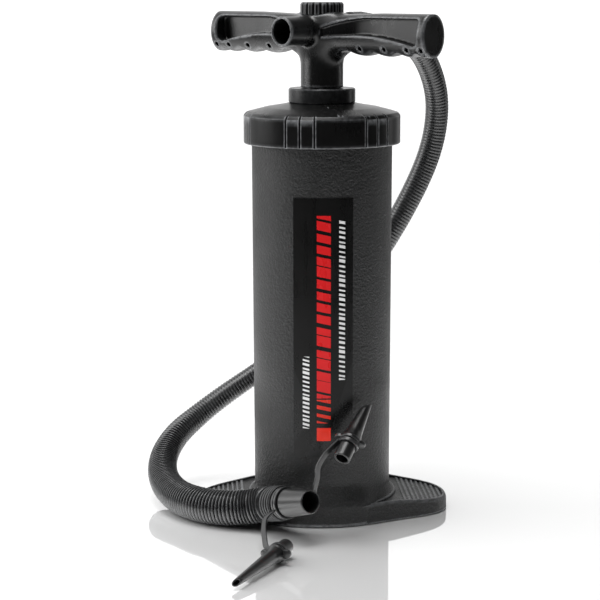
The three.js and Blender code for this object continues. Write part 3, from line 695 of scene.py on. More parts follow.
def build_finishes():
    """All the finishes of the pump, by name."""
    fin = bpy.context.scene.pump_finish
    grey = (0.075, 0.077, 0.08)
    # edge: strength of each finish's painted edge highlight
    plastic("moulded_plastic", tuple(fin.moulded), grey, marks=(26.0, 0.44, 0.58), grain=(950.0, 0.2, 0.28),
            edge=0.5, dust=0.04, bump=0.00045)
    plastic("handle_plastic", tuple(c * 0.8 for c in fin.moulded), grey, marks=(30.0, 0.24, 0.34),
            grain=(1500.0, 0.1, 0.25), edge=0.48, dust=0.03)
    plastic("cap_plastic", tuple(fin.cap), grey, marks=(24.0, 0.26, 0.34), grain=(1800.0, 0.05, 0.1),
            edge=0.7, dust=0.05, bump=0.00002, specular=0.18)
    plastic("hose_plastic", tuple(fin.hose), grey, marks=(30.0, 0.22, 0.32), grain=(1600.0, 0.05, 0.1),
            edge=0.16, dust=0.05, bump=0.00002, specular=0.6)
    plastic("cuff_rubber", tuple(c * 1.1 for c in fin.hose), grey, marks=(40.0, 0.4, 0.55),
            grain=(1600.0, 0.05, 0.1), edge=0.2, dust=0.05)
    plastic("nozzle_plastic", (0.006, 0.0061, 0.0063), grey, marks=(18.0, 0.3, 0.35),
            grain=(1800.0, 0.03, 0.05), edge=0.1, dust=0.03, bump=0.000008, specular=0.5)
    plastic("rod_plastic", (0.008, 0.008, 0.0082), grey, marks=(24.0, 0.2, 0.3), grain=(1800.0, 0.03, 0.05),
            edge=0.1, dust=0.02, bump=0.00001)
    plastic("inner_plastic", (0.34, 0.345, 0.35), (0.5, 0.5, 0.5), marks=(30.0, 0.35, 0.5), tint=0.08)
    plastic("valve_silicone", (0.62, 0.27, 0.05), (0.8, 0.5, 0.2), marks=(60.0, 0.3, 0.45), tint=0.1)
    plastic("seal_rubber", (0.016, 0.016, 0.016), grey, marks=(60.0, 0.5, 0.65))
    mat, make, shader, place = finish_nodes("screw_steel", roughness=0.3, metallic=1.0)
    rub = make("Group", {"Place": place, "Smooth": 0.22, "Matt": 0.4},
               node_tree=bpy.data.node_groups["Handling marks"])
    tree = mat.node_tree
    tree.links.new(rub.outputs["Roughness"], shader.inputs["Roughness"])
    tree.links.new(mixed(make, rub.outputs["Patch"], (0.5, 0.5, 0.51), (0.68, 0.68, 0.69)),
                   shader.inputs["Base Color"])
    label_film((21.5, 51.0, 236.0))
    # the floor is pale to the camera; to every other ray it is brighter than white near the
    # pump and dim farther off, which no real floor is
    mat, make, shader, place = finish_nodes("studio_floor", roughness=0.04, specular=1.0, coat=1.0,
            coat_roughness=0.03)
    noise = make("TexNoise", {"Vector": place, "Scale": 6.0, "Detail": 3.0})
    pale = mixed(make, noise.outputs[0], tuple(c * 0.985 for c in fin.floor), tuple(fin.floor))
    seen = make("LightPath").outputs["Is Camera Ray"]
    away = make("VectorMath", {0: place}, operation="LENGTH").outputs["Value"]
    bounce = mixed(make, ramp(make, away, 0.15, 0.95), (2.5, 2.5, 2.5), (0.2, 0.2, 0.2))
    mat.node_tree.links.new(mixed(make, seen, bounce, pale), shader.inputs["Base Color"])


def finish(name):
    """Finish by name."""
    return bpy.data.materials[name]


# ---- places, routes and operators --------------------------------------------------------
def lay_point(x, y, z):
    """Point of the hose's own frame, in millimetres, brought to the row frame in metres."""
    c, s = math.cos(LAY_TURN), math.sin(LAY_TURN)
    return np.array([x * c - y * s, x * s + y * c, z]) * MM


def lay_points(rows):
    """Several points of the hose's own frame."""
    return np.array([lay_point(*row) for row in rows])


NOZZLE_BASE = np.array([-31.0, -68.0, 22.4])
NOZZLE_DIR = np.array([21.6, -25.5, 8.6]) / np.linalg.norm([21.6, -25.5, 8.6])


def nozzle_place():
    """Placing of points about the nozzle's own axis, from the cuff face to the mouth."""
    base, tip = lay_point(*NOZZLE_BASE), lay_point(*(NOZZLE_BASE + NOZZLE_DIR))
    return along_axis(base, tip - base)


def hose_route():
    """Centre line of the hose, in metres: out of the rear port, down behind the cylinder, round
    the foot on its left side and up to the nozzle in front."""
    s, c = math.sin(LAY_TURN), math.cos(LAY_TURN)
    start = PORT_END + 9.4
    rows = [(s * start, c * start, PORT_Z), (s * (start + 13.6), c * (start + 13.6), PORT_Z),
            (62, 66, 343.5), (77, 81, 328), (86.5, 92.5, 304), (88, 99, 280), (81.5, 102, 249),
            (56, 97, 197),
            (22, 92, 147), (-18, 89, 106), (-54, 86, 81), (-77, 82, 65.5), (-97, 75, 51), (-111, 62, 40.5),
            (-119, 46, 30.5), (-120.5, 28, 22.5), (-116.5, 9, 16.5), (-106, -14, 12.8), (-92, -33, 12.6),
            (-81, -42, 12.8), (-66, -49.5, 13.8), (-51, -53.5, 15.8),
            tuple(NOZZLE_BASE - 14 * NOZZLE_DIR), tuple(NOZZLE_BASE - 5.6 * NOZZLE_DIR)]
    return catmull(lay_points(rows))


def aimed(name, lamp, azimuth, height, centre, distance):
    """Lamp object at an azimuth and height round a centre, facing it."""
    a, e = math.radians(azimuth), math.radians(height)
    away = Vector((math.sin(a) * math.cos(e), -math.cos(a) * math.cos(e), math.sin(e)))
    obj = bpy.data.objects.new(name, lamp)
    bpy.context.scene.collection.objects.link(obj)
    obj.location = centre + away * distance
    obj.rotation_mode = "QUATERNION"
    obj.rotation_quaternion = away.to_track_quat("Z", "Y")


def studio_world():
    """White to the camera. To every other ray it glows round one azimuth, on the left and a
    little behind the pump, and is dim on the far side of it."""
    world = bpy.data.worlds.new("studio")
    world.use_nodes = True
    tree = world.node_tree
    make = maker(tree)
    back = tree.nodes["Background"]
    back.inputs["Color"].default_value = (1, 1, 1, 1)
    way = make("TexCoord").outputs["Generated"]
    bright = math.radians(-112)    # azimuth of the glow
    dot = make("VectorMath", {0: way, 1: (math.sin(bright), -math.cos(bright), 0.0)},
               operation="DOT_PRODUCT").outputs["Value"]
    glow = ramp(make, dot, 0.2, 0.92, 0.06, 1.25)
    seen = make("LightPath").outputs["Is Camera Ray"]
    tree.links.new(maths(make, "MAXIMUM", glow, seen), back.inputs["Strength"])
    return world


SOFTBOXES = (
    # name, azimuth, height, distance, tall, wide, power
    ("left_softbox", -46, 20, 1.35, 0.9, 0.75, 10.0),
    ("right_softbox", 160, 10, 1.5, 1.0, 0.3, 1.6),
    ("zenith", -30, 86, 1.2, 0.7, 0.7, 12.0),
)


class PUMP_OT_stage(bpy.types.Operator):
    """Camera at a little above handle height, a pale floor and soft studio lights"""
    bl_idname = "pump.stage"
    bl_label = "Stage and camera"

    def execute(self, context):
        scene = context.scene
        cam = bpy.data.cameras.new("camera")
        cam.lens, cam.sensor_width, cam.shift_x = LENS, SENSOR, FRAME_SHIFT
        eye = bpy.data.objects.new("camera", cam)
        scene.collection.objects.link(eye)
        eye.location = EYE
        eye.rotation_euler = (EYE_TILT, 0, EYE_TURN)
        scene.camera = eye
        cam.clip_start, cam.clip_end = 0.05, 60
        scene.view_settings.view_transform = "Standard"
        u = np.linspace(-40, 40, 81)
        x, y = np.meshgrid(u, u, indexing="ij")
        floor = surface("floor", np.stack([x, y, np.full_like(x, -0.0002)], -1), wrap_v=False)
        if floor.data.polygons[0].normal.z < 0:
            floor.data.flip_normals()
        floor.data.materials.append(finish("studio_floor"))
        scene.world = studio_world()
        centre = Vector((0, 0, 0.18))
        for name, azimuth, height, distance, tall, wide, power in SOFTBOXES:
            lamp = bpy.data.lights.new(name, "AREA")
            lamp.shape, lamp.size, lamp.size_y, lamp.energy = "RECTANGLE", wide, tall, power
            aimed(name, lamp, azimuth, height, centre, distance)
        sun = bpy.data.lights.new("overhead", "SUN")
        sun.energy, sun.angle = 1.3, math.radians(55)
        aimed("overhead", sun, -20, 62, centre, 2.0)
        return {"FINISHED"}


class PUMP_OT_hose(bpy.types.Operator):
    """Corrugated hose that widens from the handle to the nozzle, with its cuffs and nozzle"""
    bl_idname = "pump.hose"
    bl_label = "Hose, cuffs and nozzle"

    def execute(self, context):
        hose = context.scene.pump_hose
        route, run = evenly(hose_route(), hose.pitch * MM / 6)
        share = run / run[-1]
        middle = hose.slim - 1.1
        radius = (hose.slim - (hose.slim - middle) * smooth(share, 0.25, 0.52) + (hose.wide - middle)
                  * smooth(share, 0.55, 0.93)) * MM
        groove = (0.5 - 0.5 * np.cos(TAU * run / (hose.pitch * MM))) ** 1.4
        ends = smooth(run, 0.0, 0.006) * smooth(run[-1] - run, 0.0, 0.004)
        radius = radius - hose.rib * MM * (0.14 + 0.86 * smooth(share, 0.5, 0.9)) * groove * ends
        radius = np.minimum(radius, np.where(run[-1] - run < 0.002, 0.0100, 1.0))
        t = np.linspace(0, TAU, 32, endpoint=False)
        section = np.stack([np.cos(t), np.sin(t)], -1)
        tube = swept("ribbed_hose", route, section, scale=radius, sharp=60)
        settle(tube, finish("hose_plastic"), None, "hose_black", "hose")

        start, end = PORT_END - 13, PORT_END + 9
        rows = [(10.7, start), (12.6, start)]
        ribs = [(12.95, start + 0.6)]
        for k in range(4):
            z = start + 2.2 + 3.0 * k
            ribs += [(12.95, z), (12.95, z + 1.4), (12.3, z + 1.9), (12.3, z + 2.5)]
        profile = rows + ribs + [(12.7, PORT_END + 1), (11.75, end), (8.0, end + 0.2),
                                 (8.0, PORT_END + 0.5), (10.7, PORT_END + 0.4)]
        out = along_axis((0, 0, PORT_Z * MM), (0, 1, 0))
        cuff = turned_ring("upper_cuff", profile, 0.5, 72, out)
        settle(cuff, finish("cuff_rubber"), "handle", "rubber", "hose_upper_cuff")

        place = nozzle_place()
        rows = [(9.4, -6.5), (11.6, -6.5)]
        for k in range(4):
            z = -5.9 + 2.75 * k
            rows += [(12.5, z + 0.2), (12.5, z + 1.5), (11.5, z + 1.9), (11.5, z + 2.4)]
        rows += [(12.4, 5.0), (12.0, 5.6), (9.4, 5.6)]
        end_cuff = turned_ring("nozzle_cuff", rows, 0.45, 96, place)
        settle(end_cuff, finish("cuff_rubber"), "swivel", "rubber", "hose_end_cuff")
        rows = [(7.4, -4.6), (8.9, -4.6), (8.9, 11.6), (9.9, 12.0), (10.1, 13.0), (9.2, 26), (8.5, 36.4),
                (8.2, 37.2), (7.5, 37.2), (7.2, 36.6), (7.3, 20)]
        nozzle = turned_ring("nozzle", rows, 0.5, 96, place)
        settle(nozzle, finish("nozzle_plastic"), "swivel", "rod_black", "hose_nozzle")

        wide = tether("strap_wide", "wide")
        slim = tether("strap_slim", "slim")
        socket_wide, socket_slim = adapter("adapter_fat", "wide"), adapter("adapter_thin", "slim")
        for obj, body, slot, node in ((wide, "wide_adapter", "rod_black", "tether_wide"),
                                      (slim, "slim_adapter", "rod_black", "tether_slim"),
                                      (socket_wide, "wide_adapter", "rod_black", "adapter_wide"),
                                      (socket_slim, "slim_adapter", "rod_black", "adapter_slim")):
            settle(obj, finish("nozzle_plastic"), body, slot, node)
        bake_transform(tube)
        return {"FINISHED"}


ADAPTERS = {
    # mouth, tip, socket radius, cone radius, tip radius, roll about the axis
    "wide": ((13.6, -84, 59), (32.6, -48.6, 90), 5.9, 7.2, 2.9, 0.35),
    "slim": ((-24, -120, 7.6), (-56, -190, 4.6), 5.4, 6.2, 2.3, 0.1),
}
LOOP_LOW = 11.6


def adapter_place(kind):
    """Placing about an adapter's axis, from its socket mouth to its tip, and its length."""
    mouth, tip, _, _, _, roll = ADAPTERS[kind]
    a, b = lay_point(*mouth), lay_point(*tip)
    return along_axis(a, b - a, roll=roll), float(np.linalg.norm(b - a)) / MM


def adapter(name, kind):
    """Nozzle adapter: a revolved socket, flange and hollow cone, whose flange radius grows
    towards two lugs as 1 / cos of the angle from them, up to the lugs' round ends."""
    _, _, socket, cone, tip, _ = ADAPTERS[kind]
    place, length = adapter_place(kind)
    rows = [(socket - 1.6, 0), (socket, 0), (socket, 15), (cone + 0.6, 15), (cone + 0.6, 17.4),
            (cone, 17.8), (cone * 0.8, 24),
            (tip, length), (tip - 0.9, length), (tip - 0.9, length - 4), (2.2, 19), (2.2, 12.9),
            (socket - 1.6, 12.9)]
    profile = refined(rounded(rows, 0.45, closed=True), 1.2, closed=True)

    lug, end = 8.0, 3.2            # how far out a lug's round end is centred, and its radius

    def lugs(t, r, z):
        flange = (r > cone + 0.1) & (z > 14.8) & (z < 17.7)
        off = np.abs(np.sin(t))
        reach = lug * np.abs(np.cos(t)) + np.sqrt(np.maximum(10.2 - (lug * off) ** 2, 0))
        reach = np.where(lug * off < end, reach, 0)
        slant = 4.5 * (0.5 + 0.5 * np.cos(t - 0.6)) * smooth(z, length - 7, length)
        return np.where(flange, np.maximum(r, reach - (cone + 0.6 - r)), r), z - slant

    quarter = lambda pts: place(turned_by(math.pi / 2)(pts))
    return revolved(name, profile, 96, closed=True, shape=lugs, place=quarter)


def tether(name, kind):
    """Strap of an adapter: a ring round the nozzle, a flat rounded band along a smooth curve and
    a small loop round the adapter's socket."""
    mouth, tip, socket, _, _, _ = ADAPTERS[kind]
    mouth, tip = np.array(mouth, float), np.array(tip, float)
    along = (tip - mouth) / np.linalg.norm(tip - mouth)

    def off(axis, facing):
        out = np.array(facing, float) - axis * (np.array(facing, float) @ axis)
        return out / np.linalg.norm(out)

    def on_ring(h, facing):
        return NOZZLE_BASE + NOZZLE_DIR * h + off(NOZZLE_DIR, facing) * 10.4

    def on_loop(facing):
        return mouth + along * (LOOP_LOW + 1.4) + off(along, facing) * (socket + 0.9)

    if kind == "wide":
        rows = [on_ring(9.9, (0.7, 0.6, 0.1)), (-9.6, -69, 27.5), (-5.8, -76, 31.5), (-4.8, -81, 38),
                (-3.2, -82.5, 45), (-2.6, -83.5, 53), (2.2, -81, 61), on_loop((-1, 0, 0.3))]
        ring_low = 8.7
    else:
        rows = [on_ring(7.1, (-0.7, -0.6, -0.3)), (-39, -86, 17), (-40, -98, 13), (-39, -112, 9.6),
                (-37.6, -124, 8.4), on_loop((-1, 0.5, 0.2))]
        ring_low = 5.9
    hoop = turned_ring(name + "_hoop", square(9.3, 11.4, ring_low, ring_low + 2.4), 0.5, 72, nozzle_place())
    place, _ = adapter_place(kind)
    inner = socket + 0.15
    loop = turned_ring(name + "_loop", square(inner, inner + 1.5, LOOP_LOW, LOOP_LOW + 2.8), 0.45, 48,
                       place)
    route, _ = evenly(catmull(lay_points(rows)), 0.7 * MM)
    band = np.array(rounded(square(-0.75, 0.75, -1.9, 1.9), 0.45, closed=True)) * MM
    axis = lay_point(*NOZZLE_DIR) / MM
    strap = swept(name, route, band, start_side=np.cross(route[1] - route[0], axis))
    return joined(name, [strap, hoop, loop])


def label_sheet(radius_at, half, low, high, proud):
    """Curved film: the point at arc length s and height z lies at radius_at(z) plus its
    thickness, at the angle s / radius from the label's middle; (u, v) are its shares."""
    s = np.linspace(-half, half, 49)
    z = np.linspace(low, high, 61)
    zz, ss = np.meshgrid(z, s, indexing="ij")
    r = radius_at(zz) + proud
    t = LABEL_TURN + ss / r
    pts = np.stack([r * np.sin(t), -r * np.cos(t), zz], -1) * MM
    uv = np.stack([(ss + half) / (2 * half), (zz - low) / (high - low)], -1)
    return pts, uv


def outline_distance(points, x, y):
    """Signed distance to a closed outline: the least distance to its sides, negative where a
    ray to the right crosses them an odd number of times."""
    p = np.asarray(points, float)
    shape = np.broadcast(x, y).shape
    best, odd = np.full(shape, np.inf), np.zeros(shape, bool)
    for (ax, ay), (bx, by) in zip(p, np.roll(p, -1, 0)):
        ex, ey = bx - ax, by - ay
        wx, wy = x - ax, y - ay
        t = np.clip((wx * ex + wy * ey) / (ex * ex + ey * ey), 0, 1)
        best = np.minimum(best, (wx - t * ex) ** 2 + (wy - t * ey) ** 2)
        if abs(ey) > 1e-9:
            odd ^= ((ay > y) != (by > y)) & (x < ex * (y - ay) / ey + ax)
    return np.where(odd, -1, 1) * np.sqrt(best)


def blend_max(a, b, k):
    """Smooth maximum: the negative of the smooth minimum of the negatives."""
    return -blend_min(-a, -b, k)


def curve(start, *pieces, steps=8):
    """Outline made of straight sides (x, y) and quadratic arcs (cx, cy, x, y)."""
    rows = [np.array([start], float)]
    for piece in pieces:
        a = rows[-1][-1]
        if len(piece) == 2:
            rows.append(np.array([piece], float))
        else:
            c, b = np.array(piece[:2], float), np.array(piece[2:], float)
            t = np.linspace(0, 1, steps + 1)[1:, None]
            rows.append((1 - t) ** 2 * a + 2 * t * (1 - t) * c + t ** 2 * b)
    return np.vstack(rows)


FOOT_HALF = [(0, 53.8), (16, 52.4), (30, 48), (45, 41.4), (60, 35), (74, 29), (84, 22.4), (90, 13.8),
             (92.2, 4.5)]


FOOT_TOP, FOOT_DROP, FOOT_RUN = 15.0, 4.5, 42.6    # height by the cylinder, fall, and over what run
RIB_START, RIB_PITCH = 57.0, 3.5
PAD_DEPTH, PAD_RIM, RIB_BELOW = 1.9, 3.1, 1.0


def foot_outline():
    """Plan of the foot plate in its own frame: the smooth half outline and its mirror images."""
    half = np.array([(x, y, 0) for x, y in [(-16, 52.4)] + FOOT_HALF + [(92, -4)]], float)
    line = catmull(half, 6)[:, :2]
    line = line[(line[:, 0] >= -1e-9) & (line[:, 1] > 0.2)]
    quarter = np.vstack([line, [(92.6, 0)]])
    upper = np.vstack([quarter[::-1] * (1, 1), quarter[1:] * (-1, 1)])
    lower = upper[::-1][1:-1] * (1, -1)
    return np.vstack([upper, lower])


def foot_field(plan, ribs):
    """Distance to the foot plate: its plan, under two sloping tops, less two sunk tread pads
    between parallel ribs, whose sunk floor runs on round the cylinder's foot."""
    def field(x, y, z):
        ax = np.abs(x)
        r = np.sqrt(x * x + y * y)
        out = outline_distance(plan, x, y)
        top = FOOT_TOP - FOOT_DROP * np.clip((ax - 49.4) / FOOT_RUN, 0, 1.2)
        body = blend_max(out + np.maximum(z - 3, 0) * 0.03, z - top, 2.6)
        rib = np.abs((ax - RIB_START) % RIB_PITCH - RIB_PITCH / 2) - 0.85
        rib = np.where((ax > RIB_START) & (ax < RIB_START + RIB_PITCH * ribs), rib, 1.0)
        pad = np.maximum(np.maximum(out + PAD_RIM, 54.0 - r), top - PAD_DEPTH - z)
        pad = blend_max(pad, -np.maximum(rib, z - top + RIB_BELOW), 0.5)
        body = blend_max(body, -pad, 0.5)
        body = blend_max(body, 0.2 - z, 0.9)
        return np.maximum(body, 48.4 - r)
    return field


def settled_on(field, points, turns=2, reach=0.05):
    """Points moved onto the field's zero level by Newton steps along its slope."""
    p = points.copy()
    for _ in range(turns):
        f = field(p[:, 0], p[:, 1], p[:, 2])
        g = np.stack([(field(*(p + reach * e).T) - f) / reach for e in np.eye(3)], -1)
        size = np.maximum((g * g).sum(1), 0.2)
        p -= np.clip(f / size, -0.4, 0.4)[:, None] * g
    return p


def moulded_from(name, field, lo, hi, step, place=None):
    """Level surface of a field with its vertices settled exactly on it, then placed."""
    obj = level_surface(name, field, lo, hi, step)
    co = np.empty(len(obj.data.vertices) * 3, np.float32)
    obj.data.vertices.foreach_get("co", co)
    p = settled_on(field, co.reshape(-1, 3).astype(float) / MM) * MM
    if place is not None:
        p = place(p)
    obj.data.vertices.foreach_set("co", p.astype(np.float32).reshape(-1))
    obj.data.update()
    shaded(obj, 50)
    return obj


class PUMP_OT_cylinder(bpy.types.Operator):
    """Cylinder that flares out into the front of its foot, and the foot plate with ribbed pads"""
    bl_idname = "pump.cylinder"
    bl_label = "Cylinder and foot"

    def execute(self, context):
        size = context.scene.pump_sizes
        low, high = size.barrel_low, size.barrel_high
        wall = lambda z: low + (high - low) * z / BARREL_TOP
        zs = np.concatenate([np.linspace(1.0, 13, 13), np.linspace(13.4, 32, 48),
                             np.linspace(34, BARREL_TOP - 0.6, 44)])
        outer = [(wall(z), z) for z in zs]
        under = [(0, 0.6), (wall(0) - 1.4, 0.6), (wall(0) - 0.4, 0.8)]
        bore = [(wall(BARREL_TOP) - 0.5, BARREL_TOP), (46.9, BARREL_TOP), (46.6, BARREL_TOP - 0.4),
                (46.6, 12),
                (45.6, 11), (0, 11)]
        rows = under + outer + bore

        plan = foot_outline()
        angle = np.arctan2(plan[:, 0], -plan[:, 1])
        order = np.argsort(angle)
        reach = np.hypot(plan[:, 0], plan[:, 1])[order]

        def flare(t, r, z):
            turn = np.angle(np.exp(1j * (t - FOOT_TURN)))
            edge = np.interp(turn, angle[order], reach, period=TAU)
            aside = np.arcsin(np.abs(np.sin(turn)))
            share = 1 - smooth(aside, math.radians(20), math.radians(58))
            fade = smooth(aside, math.radians(26), math.radians(48))
            add = blend_min(edge + 0.2, low + 8.2 - 4.0 * fade, 1.8) - low
            foot, height = 15.1 - 1.2 * share, 8.0 + 9.0 * share
            left = 1 - np.clip((z - foot) / height, 0, 1)
            hollow = 1 - np.sqrt(np.maximum(1 - left * left, 0))
            swell = hollow + (smooth(left, 0, 1) - hollow) * share
            bottom = 0.9 * np.clip(1 - z / 1.8, 0, 1) ** 2
            return np.where(r > 47.5, r + add * swell - bottom, r), z

        tube = revolved("cylinder", rows, 256, shape=flare)
        settle(tube, finish("moulded_plastic"), "base", "moulded", "barrel")
        field = foot_field(foot_outline(), size.pad_ribs)
        low_corner, high_corner = (-94.05, -56, -0.7), (94.5, 56, 18)
        foot = moulded_from("foot_plate", field, low_corner, high_corner, 0.75, turned_by(FOOT_TURN))
        settle(foot, finish("moulded_plastic"), "base", "moulded", "barrel")
        return {"FINISHED"}


class PUMP_OT_label(bpy.types.Operator):
    """Printed film stuck on the front of the cylinder"""
    bl_idname = "pump.label"
    bl_label = "Label film"

    def execute(self, context):
        size = context.scene.pump_sizes
        wall = lambda z: size.barrel_low + (size.barrel_high - size.barrel_low) * z / BARREL_TOP
        pts, uv = label_sheet(wall, 21.5, 51.0, 236.0, 0.32)
        film = surface("label_film", pts, wrap_v=False, uv=uv)
        mod = film.modifiers.new("thickness", "SOLIDIFY")
        mod.thickness, mod.offset = 0.0003, 0.0
        applied(film)
        shaded(film, 38)
        settle(film, finish("label_film"), "base", "label_black", "barrel_label")
        return {"FINISHED"}


class PUMP_OT_cap(bpy.types.Operator):
    """Screw cap with six groups of three grip notches, and the gland collar on it"""
    bl_idname = "pump.cap"
    bl_label = "Cap and collar"

    def execute(self, context):
        edge = 291.2               # where the wall turns into the crown
        rows = [(51.3, CAP_LOW + 0.1), (55.4, CAP_LOW), (56.1, CAP_LOW + 0.8), (56.1, edge - 0.7),
                (54.5, edge + 1.2), (53.7, edge + 1.6), (40, 296.3), (30, 297.9), (22.4, 299.5),
                (18.8, 299.7), (18.8, 291), (46, 288.2), (51.3, 286.9)]
        profile = refined(rounded(rows, 0.4, steps=3, closed=True), 3.0, closed=True)

        def notches(t, r, z):
            out = r > 52.6
            depth = np.zeros_like(r + t)
            inside = np.zeros_like(depth)
            step = math.radians(10.7)
            for k in range(6):
                middle = CAP_TURN + k * TAU / 6
                off = np.angle(np.exp(1j * (t - middle)))
                inside = np.maximum(inside, np.abs(off) < step)
                for j in (-1, 0, 1):
                    groove = np.clip(1.2 - np.abs(off - j * step) * 56.1 / 0.62, 0, 1)
                    depth = np.maximum(depth, 0.9 * groove)
            sunk = inside * 0.6 * smooth(z, edge - 1.6, edge - 0.4)
            fade = smooth(z, CAP_LOW + 0.4, CAP_LOW + 1.0)
            return np.where(out, r - depth * fade - sunk, r), z

        cap = revolved("screw_cap", profile, 840, closed=True, shape=notches, sharp=32)
        settle(cap, finish("cap_plastic"), "base", "cap_black", "cap")
        rows = [(17.6, 299.6), (23.6, 299.6), (23.9, 300.2), (23.9, COLLAR_TOP - 0.8), (23.2, COLLAR_TOP),
                (15.4, COLLAR_TOP), (14.4, COLLAR_TOP - 0.8), (14.4, 306), (17.6, 306)]
        collar = turned_ring("gland_collar_ring", rows, 0.5, 128)
        settle(collar, finish("cap_plastic"), "base", "cap_black", "gland_collar")
        return {"FINISHED"}


GRIP_LOW, GRIP_HIGH = 333.0, 363.2
PORT_R, BORE_R = 10.35, 8.7
DRAINS, DRAIN_Z, DRAIN_R = (44.5, 67, 87.5, 100.2), 338.6, 1.65
KNOB_LOW = 361.2


def handle_field(half):
    """Distance to the handle: two oval grips cut to their side outline, the hub and neck as a
    turned body, and the two ports, all blended; less the pockets, drain holes and bores."""
    low, high, end = GRIP_LOW, GRIP_HIGH, GRIP_END + 0.9
    side = [(-8, KNOB_LOW - 1.6), (0, KNOB_LOW - 1.6), (22, high - 1.6), (60, high), (end - 0.05, high),
            (end, high - 0.5), (end, low + 0.5), (end - 1, low)]
    lower = [(101, low)]
    for start, middle, stop in ((101, 94.5, 87.5), (87.5, 77, 66.5), (66.5, 55.5, 44.5)):
        lower += [(start - 3, low, middle, low + 3.5), (stop + 3, low, stop, low)]
    lower += [(39, low, 34, low + 3), (24, low + 5.5, 18, low - 1.0), (15.4, 328, 15.0, 321), (-8, 321)]
    side = curve(side[0], *side[1:], *lower)
    pocket = curve((12, 352.4), (26, 358.4, 50, high - 3.6), (93.5, high - 3.6),
                   (98.8, high - 3.8, 98.8, high - 8), (98.4, 345.5), (97.6, 340.6, 92, 341.2),
                   (66, 347.6, 42, 347.6), (28, 347, 12, 346.4))
    foot = COLLAR_TOP + 0.4
    hub = [(0, foot), (14.8, foot), (15.2, foot + 0.6), (15.2, 332), (15.6, 341), (16.8, 349), (16.8, 354),
           (15.2, 360), (9, 360.6), (9, 366.2), (0, 366.2)]
    hub = hub + [(-r, z) for r, z in hub[::-1] if r > 0]
    middle = (low + high) / 2
    tall = (high - low) / 2 + 0.25

    def field(x, y, z):
        ax, ay = np.abs(x), np.abs(y)
        flat = outline_distance(side, ax, z)
        a, b = y / half, (z - middle) / tall
        k0 = np.sqrt(a * a + b * b)
        k1 = np.sqrt((a / half) ** 2 + (b / tall) ** 2) + 1e-9
        oval = k0 * (k0 - 1) / k1
        body = blend_max(flat, oval, 1.8)
        r = np.sqrt(x * x + y * y)
        centre = outline_distance(hub, r, z)
        pipe = np.sqrt(x * x + (z - PORT_Z) ** 2)
        port = blend_max(pipe - PORT_R, ay - PORT_END, 1.0)
        body = blend_min(body, centre, 10.5)
        body = blend_min(body, port, 2.6)
        floor = 1.7 + 11 * (1 - smooth(ax, 6, 46)) ** 1.5
        cut = blend_max(outline_distance(pocket, ax, z), floor - ay, 1.4)
        body = blend_max(body, -cut, 1.1)
        for at in DRAINS:
            hole = np.sqrt((ax - at) ** 2 + (z - DRAIN_Z) ** 2) - DRAIN_R
            body = np.maximum(body, -np.maximum(hole, 4 - ay))
        bore = np.maximum(pipe - BORE_R, np.minimum(y, 10.6 - y))
        body = blend_max(body, -bore, 0.8)
        return body
    return field


class PUMP_OT_handle(bpy.types.Operator):
    """Handle with two pocketed finger grips, its hub, neck and ports, and the fluted screw knob"""
    bl_idname = "pump.handle"
    bl_label = "Handle and knob"

    def execute(self, context):
        size = context.scene.pump_sizes
        low_corner, high_corner = (-106.3, -42.7, COLLAR_TOP - 1.6), (106.3, 42.7, 368.3)
        grip = moulded_from("handle_grips", handle_field(size.grip_half), low_corner, high_corner, 1.0)
        settle(grip, finish("handle_plastic"), "handle", "moulded", "handle")
        rows = [(0, 367.8), (9.4, 367.8), (9.4, KNOB_LOW + 0.2), (15.0, KNOB_LOW), (15.4, KNOB_LOW + 0.5),
                (15.4, KNOB_TOP - 1.3), (14.3, KNOB_TOP), (0, KNOB_TOP)]
        profile = refined(rounded(rows, 0.4), 1.0)
        count = size.knob_flutes

        def flutes(t, r, z):
            depth = 1.15 * (0.5 + 0.5 * np.cos(count * t)) ** 3
            return np.where(r > 12.5, r - depth * smooth(r, 12.5, 15.2), r), z

        knob = revolved("screw_knob", profile, count * 16, shape=flutes)
        settle(knob, finish("cap_plastic"), "handle", "cap_black", "hub_knob")
        low, high = low_of("rod_outer_tube"), top_of("rod_outer_tube")
        rows = [(11.2, low), (13.6, low), (13.6, high), (11.2, high)]
        rod = revolved("rod", refined(rounded(rows, 0.4, closed=True), 12, closed=True), 96, closed=True)
        settle(rod, finish("rod_plastic"), "handle", "rod_black", "rod_outer_tube")
        return {"FINISHED"}


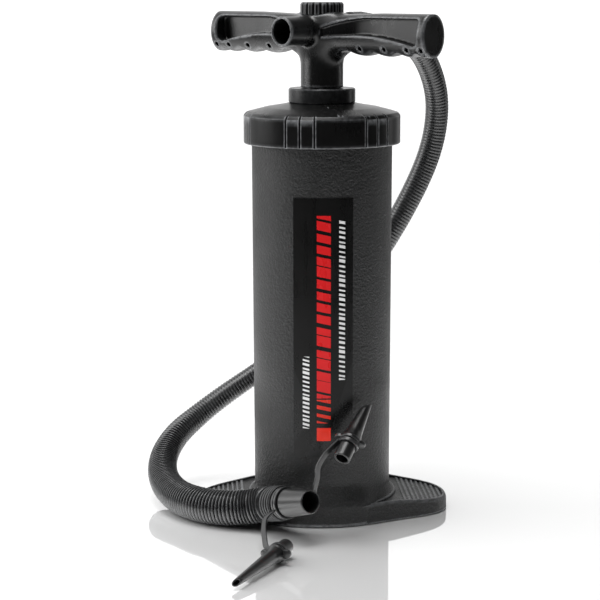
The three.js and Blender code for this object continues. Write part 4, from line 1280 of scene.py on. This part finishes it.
class PUMP_OT_inside(bpy.types.Operator):
    """Finishes of the carried-over inner pieces: piston, valves, seals, bush and screw"""
    bl_idname = "pump.inside"
    bl_label = "Inner pieces"

    def execute(self, context):
        table = {"seal_rubber": ("cap_gasket", "rod_seal", "knob_seal", "piston_lower_seal",
                                 "piston_upper_seal"),
                 "inner_plastic": ("gland_ring", "rod_bush", "rod_inner_tube", "piston_lower_plate",
                                   "piston_upper_plate", "piston_core"),
                 "valve_silicone": ("valve_intake_upper", "valve_outlet_upper", "valve_intake_lower",
                                    "valve_outlet_lower"),
                 "screw_steel": ("piston_screw",)}
        for name, nodes in table.items():
            for node in nodes:
                obj = frame["nodes"][node]
                obj.data.materials.clear()
                obj.data.materials.append(finish(name))
        return {"FINISHED"}


STEPS = (PUMP_OT_stage, PUMP_OT_hose, PUMP_OT_cylinder, PUMP_OT_label, PUMP_OT_cap, PUMP_OT_handle,
         PUMP_OT_inside)


class PUMP_PT_build(bpy.types.Panel):
    """Sidebar panel that lists the steps and the sizes"""
    bl_idname = "PUMP_PT_build"
    bl_label = "Hand pump"
    bl_space_type = "VIEW_3D"
    bl_region_type = "UI"
    bl_category = "Hand pump"

    def draw(self, context):
        for step in STEPS:
            self.layout.operator(step.bl_idname)
        for settings in (context.scene.pump_sizes, context.scene.pump_hose, context.scene.pump_finish):
            for prop in settings.bl_rna.properties:
                if prop.identifier not in ("rna_type", "name"):
                    self.layout.prop(settings, prop.identifier)


CLASSES = (PumpSizes, PumpHose, PumpFinish, *STEPS, PUMP_PT_build)


def register():
    for cls in CLASSES:
        bpy.utils.register_class(cls)
    bpy.types.Scene.pump_sizes = PointerProperty(type=PumpSizes)
    bpy.types.Scene.pump_hose = PointerProperty(type=PumpHose)
    bpy.types.Scene.pump_finish = PointerProperty(type=PumpFinish)


def unregister():
    del bpy.types.Scene.pump_finish, bpy.types.Scene.pump_hose, bpy.types.Scene.pump_sizes
    for cls in reversed(CLASSES):
        bpy.utils.unregister_class(cls)


def main():
    """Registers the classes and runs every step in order."""
    register()
    build_groups()
    build_finishes()
    for step in STEPS:
        section, name = step.bl_idname.split(".")
        getattr(getattr(bpy.ops, section), name)()


if __name__ == "__main__":
    main()
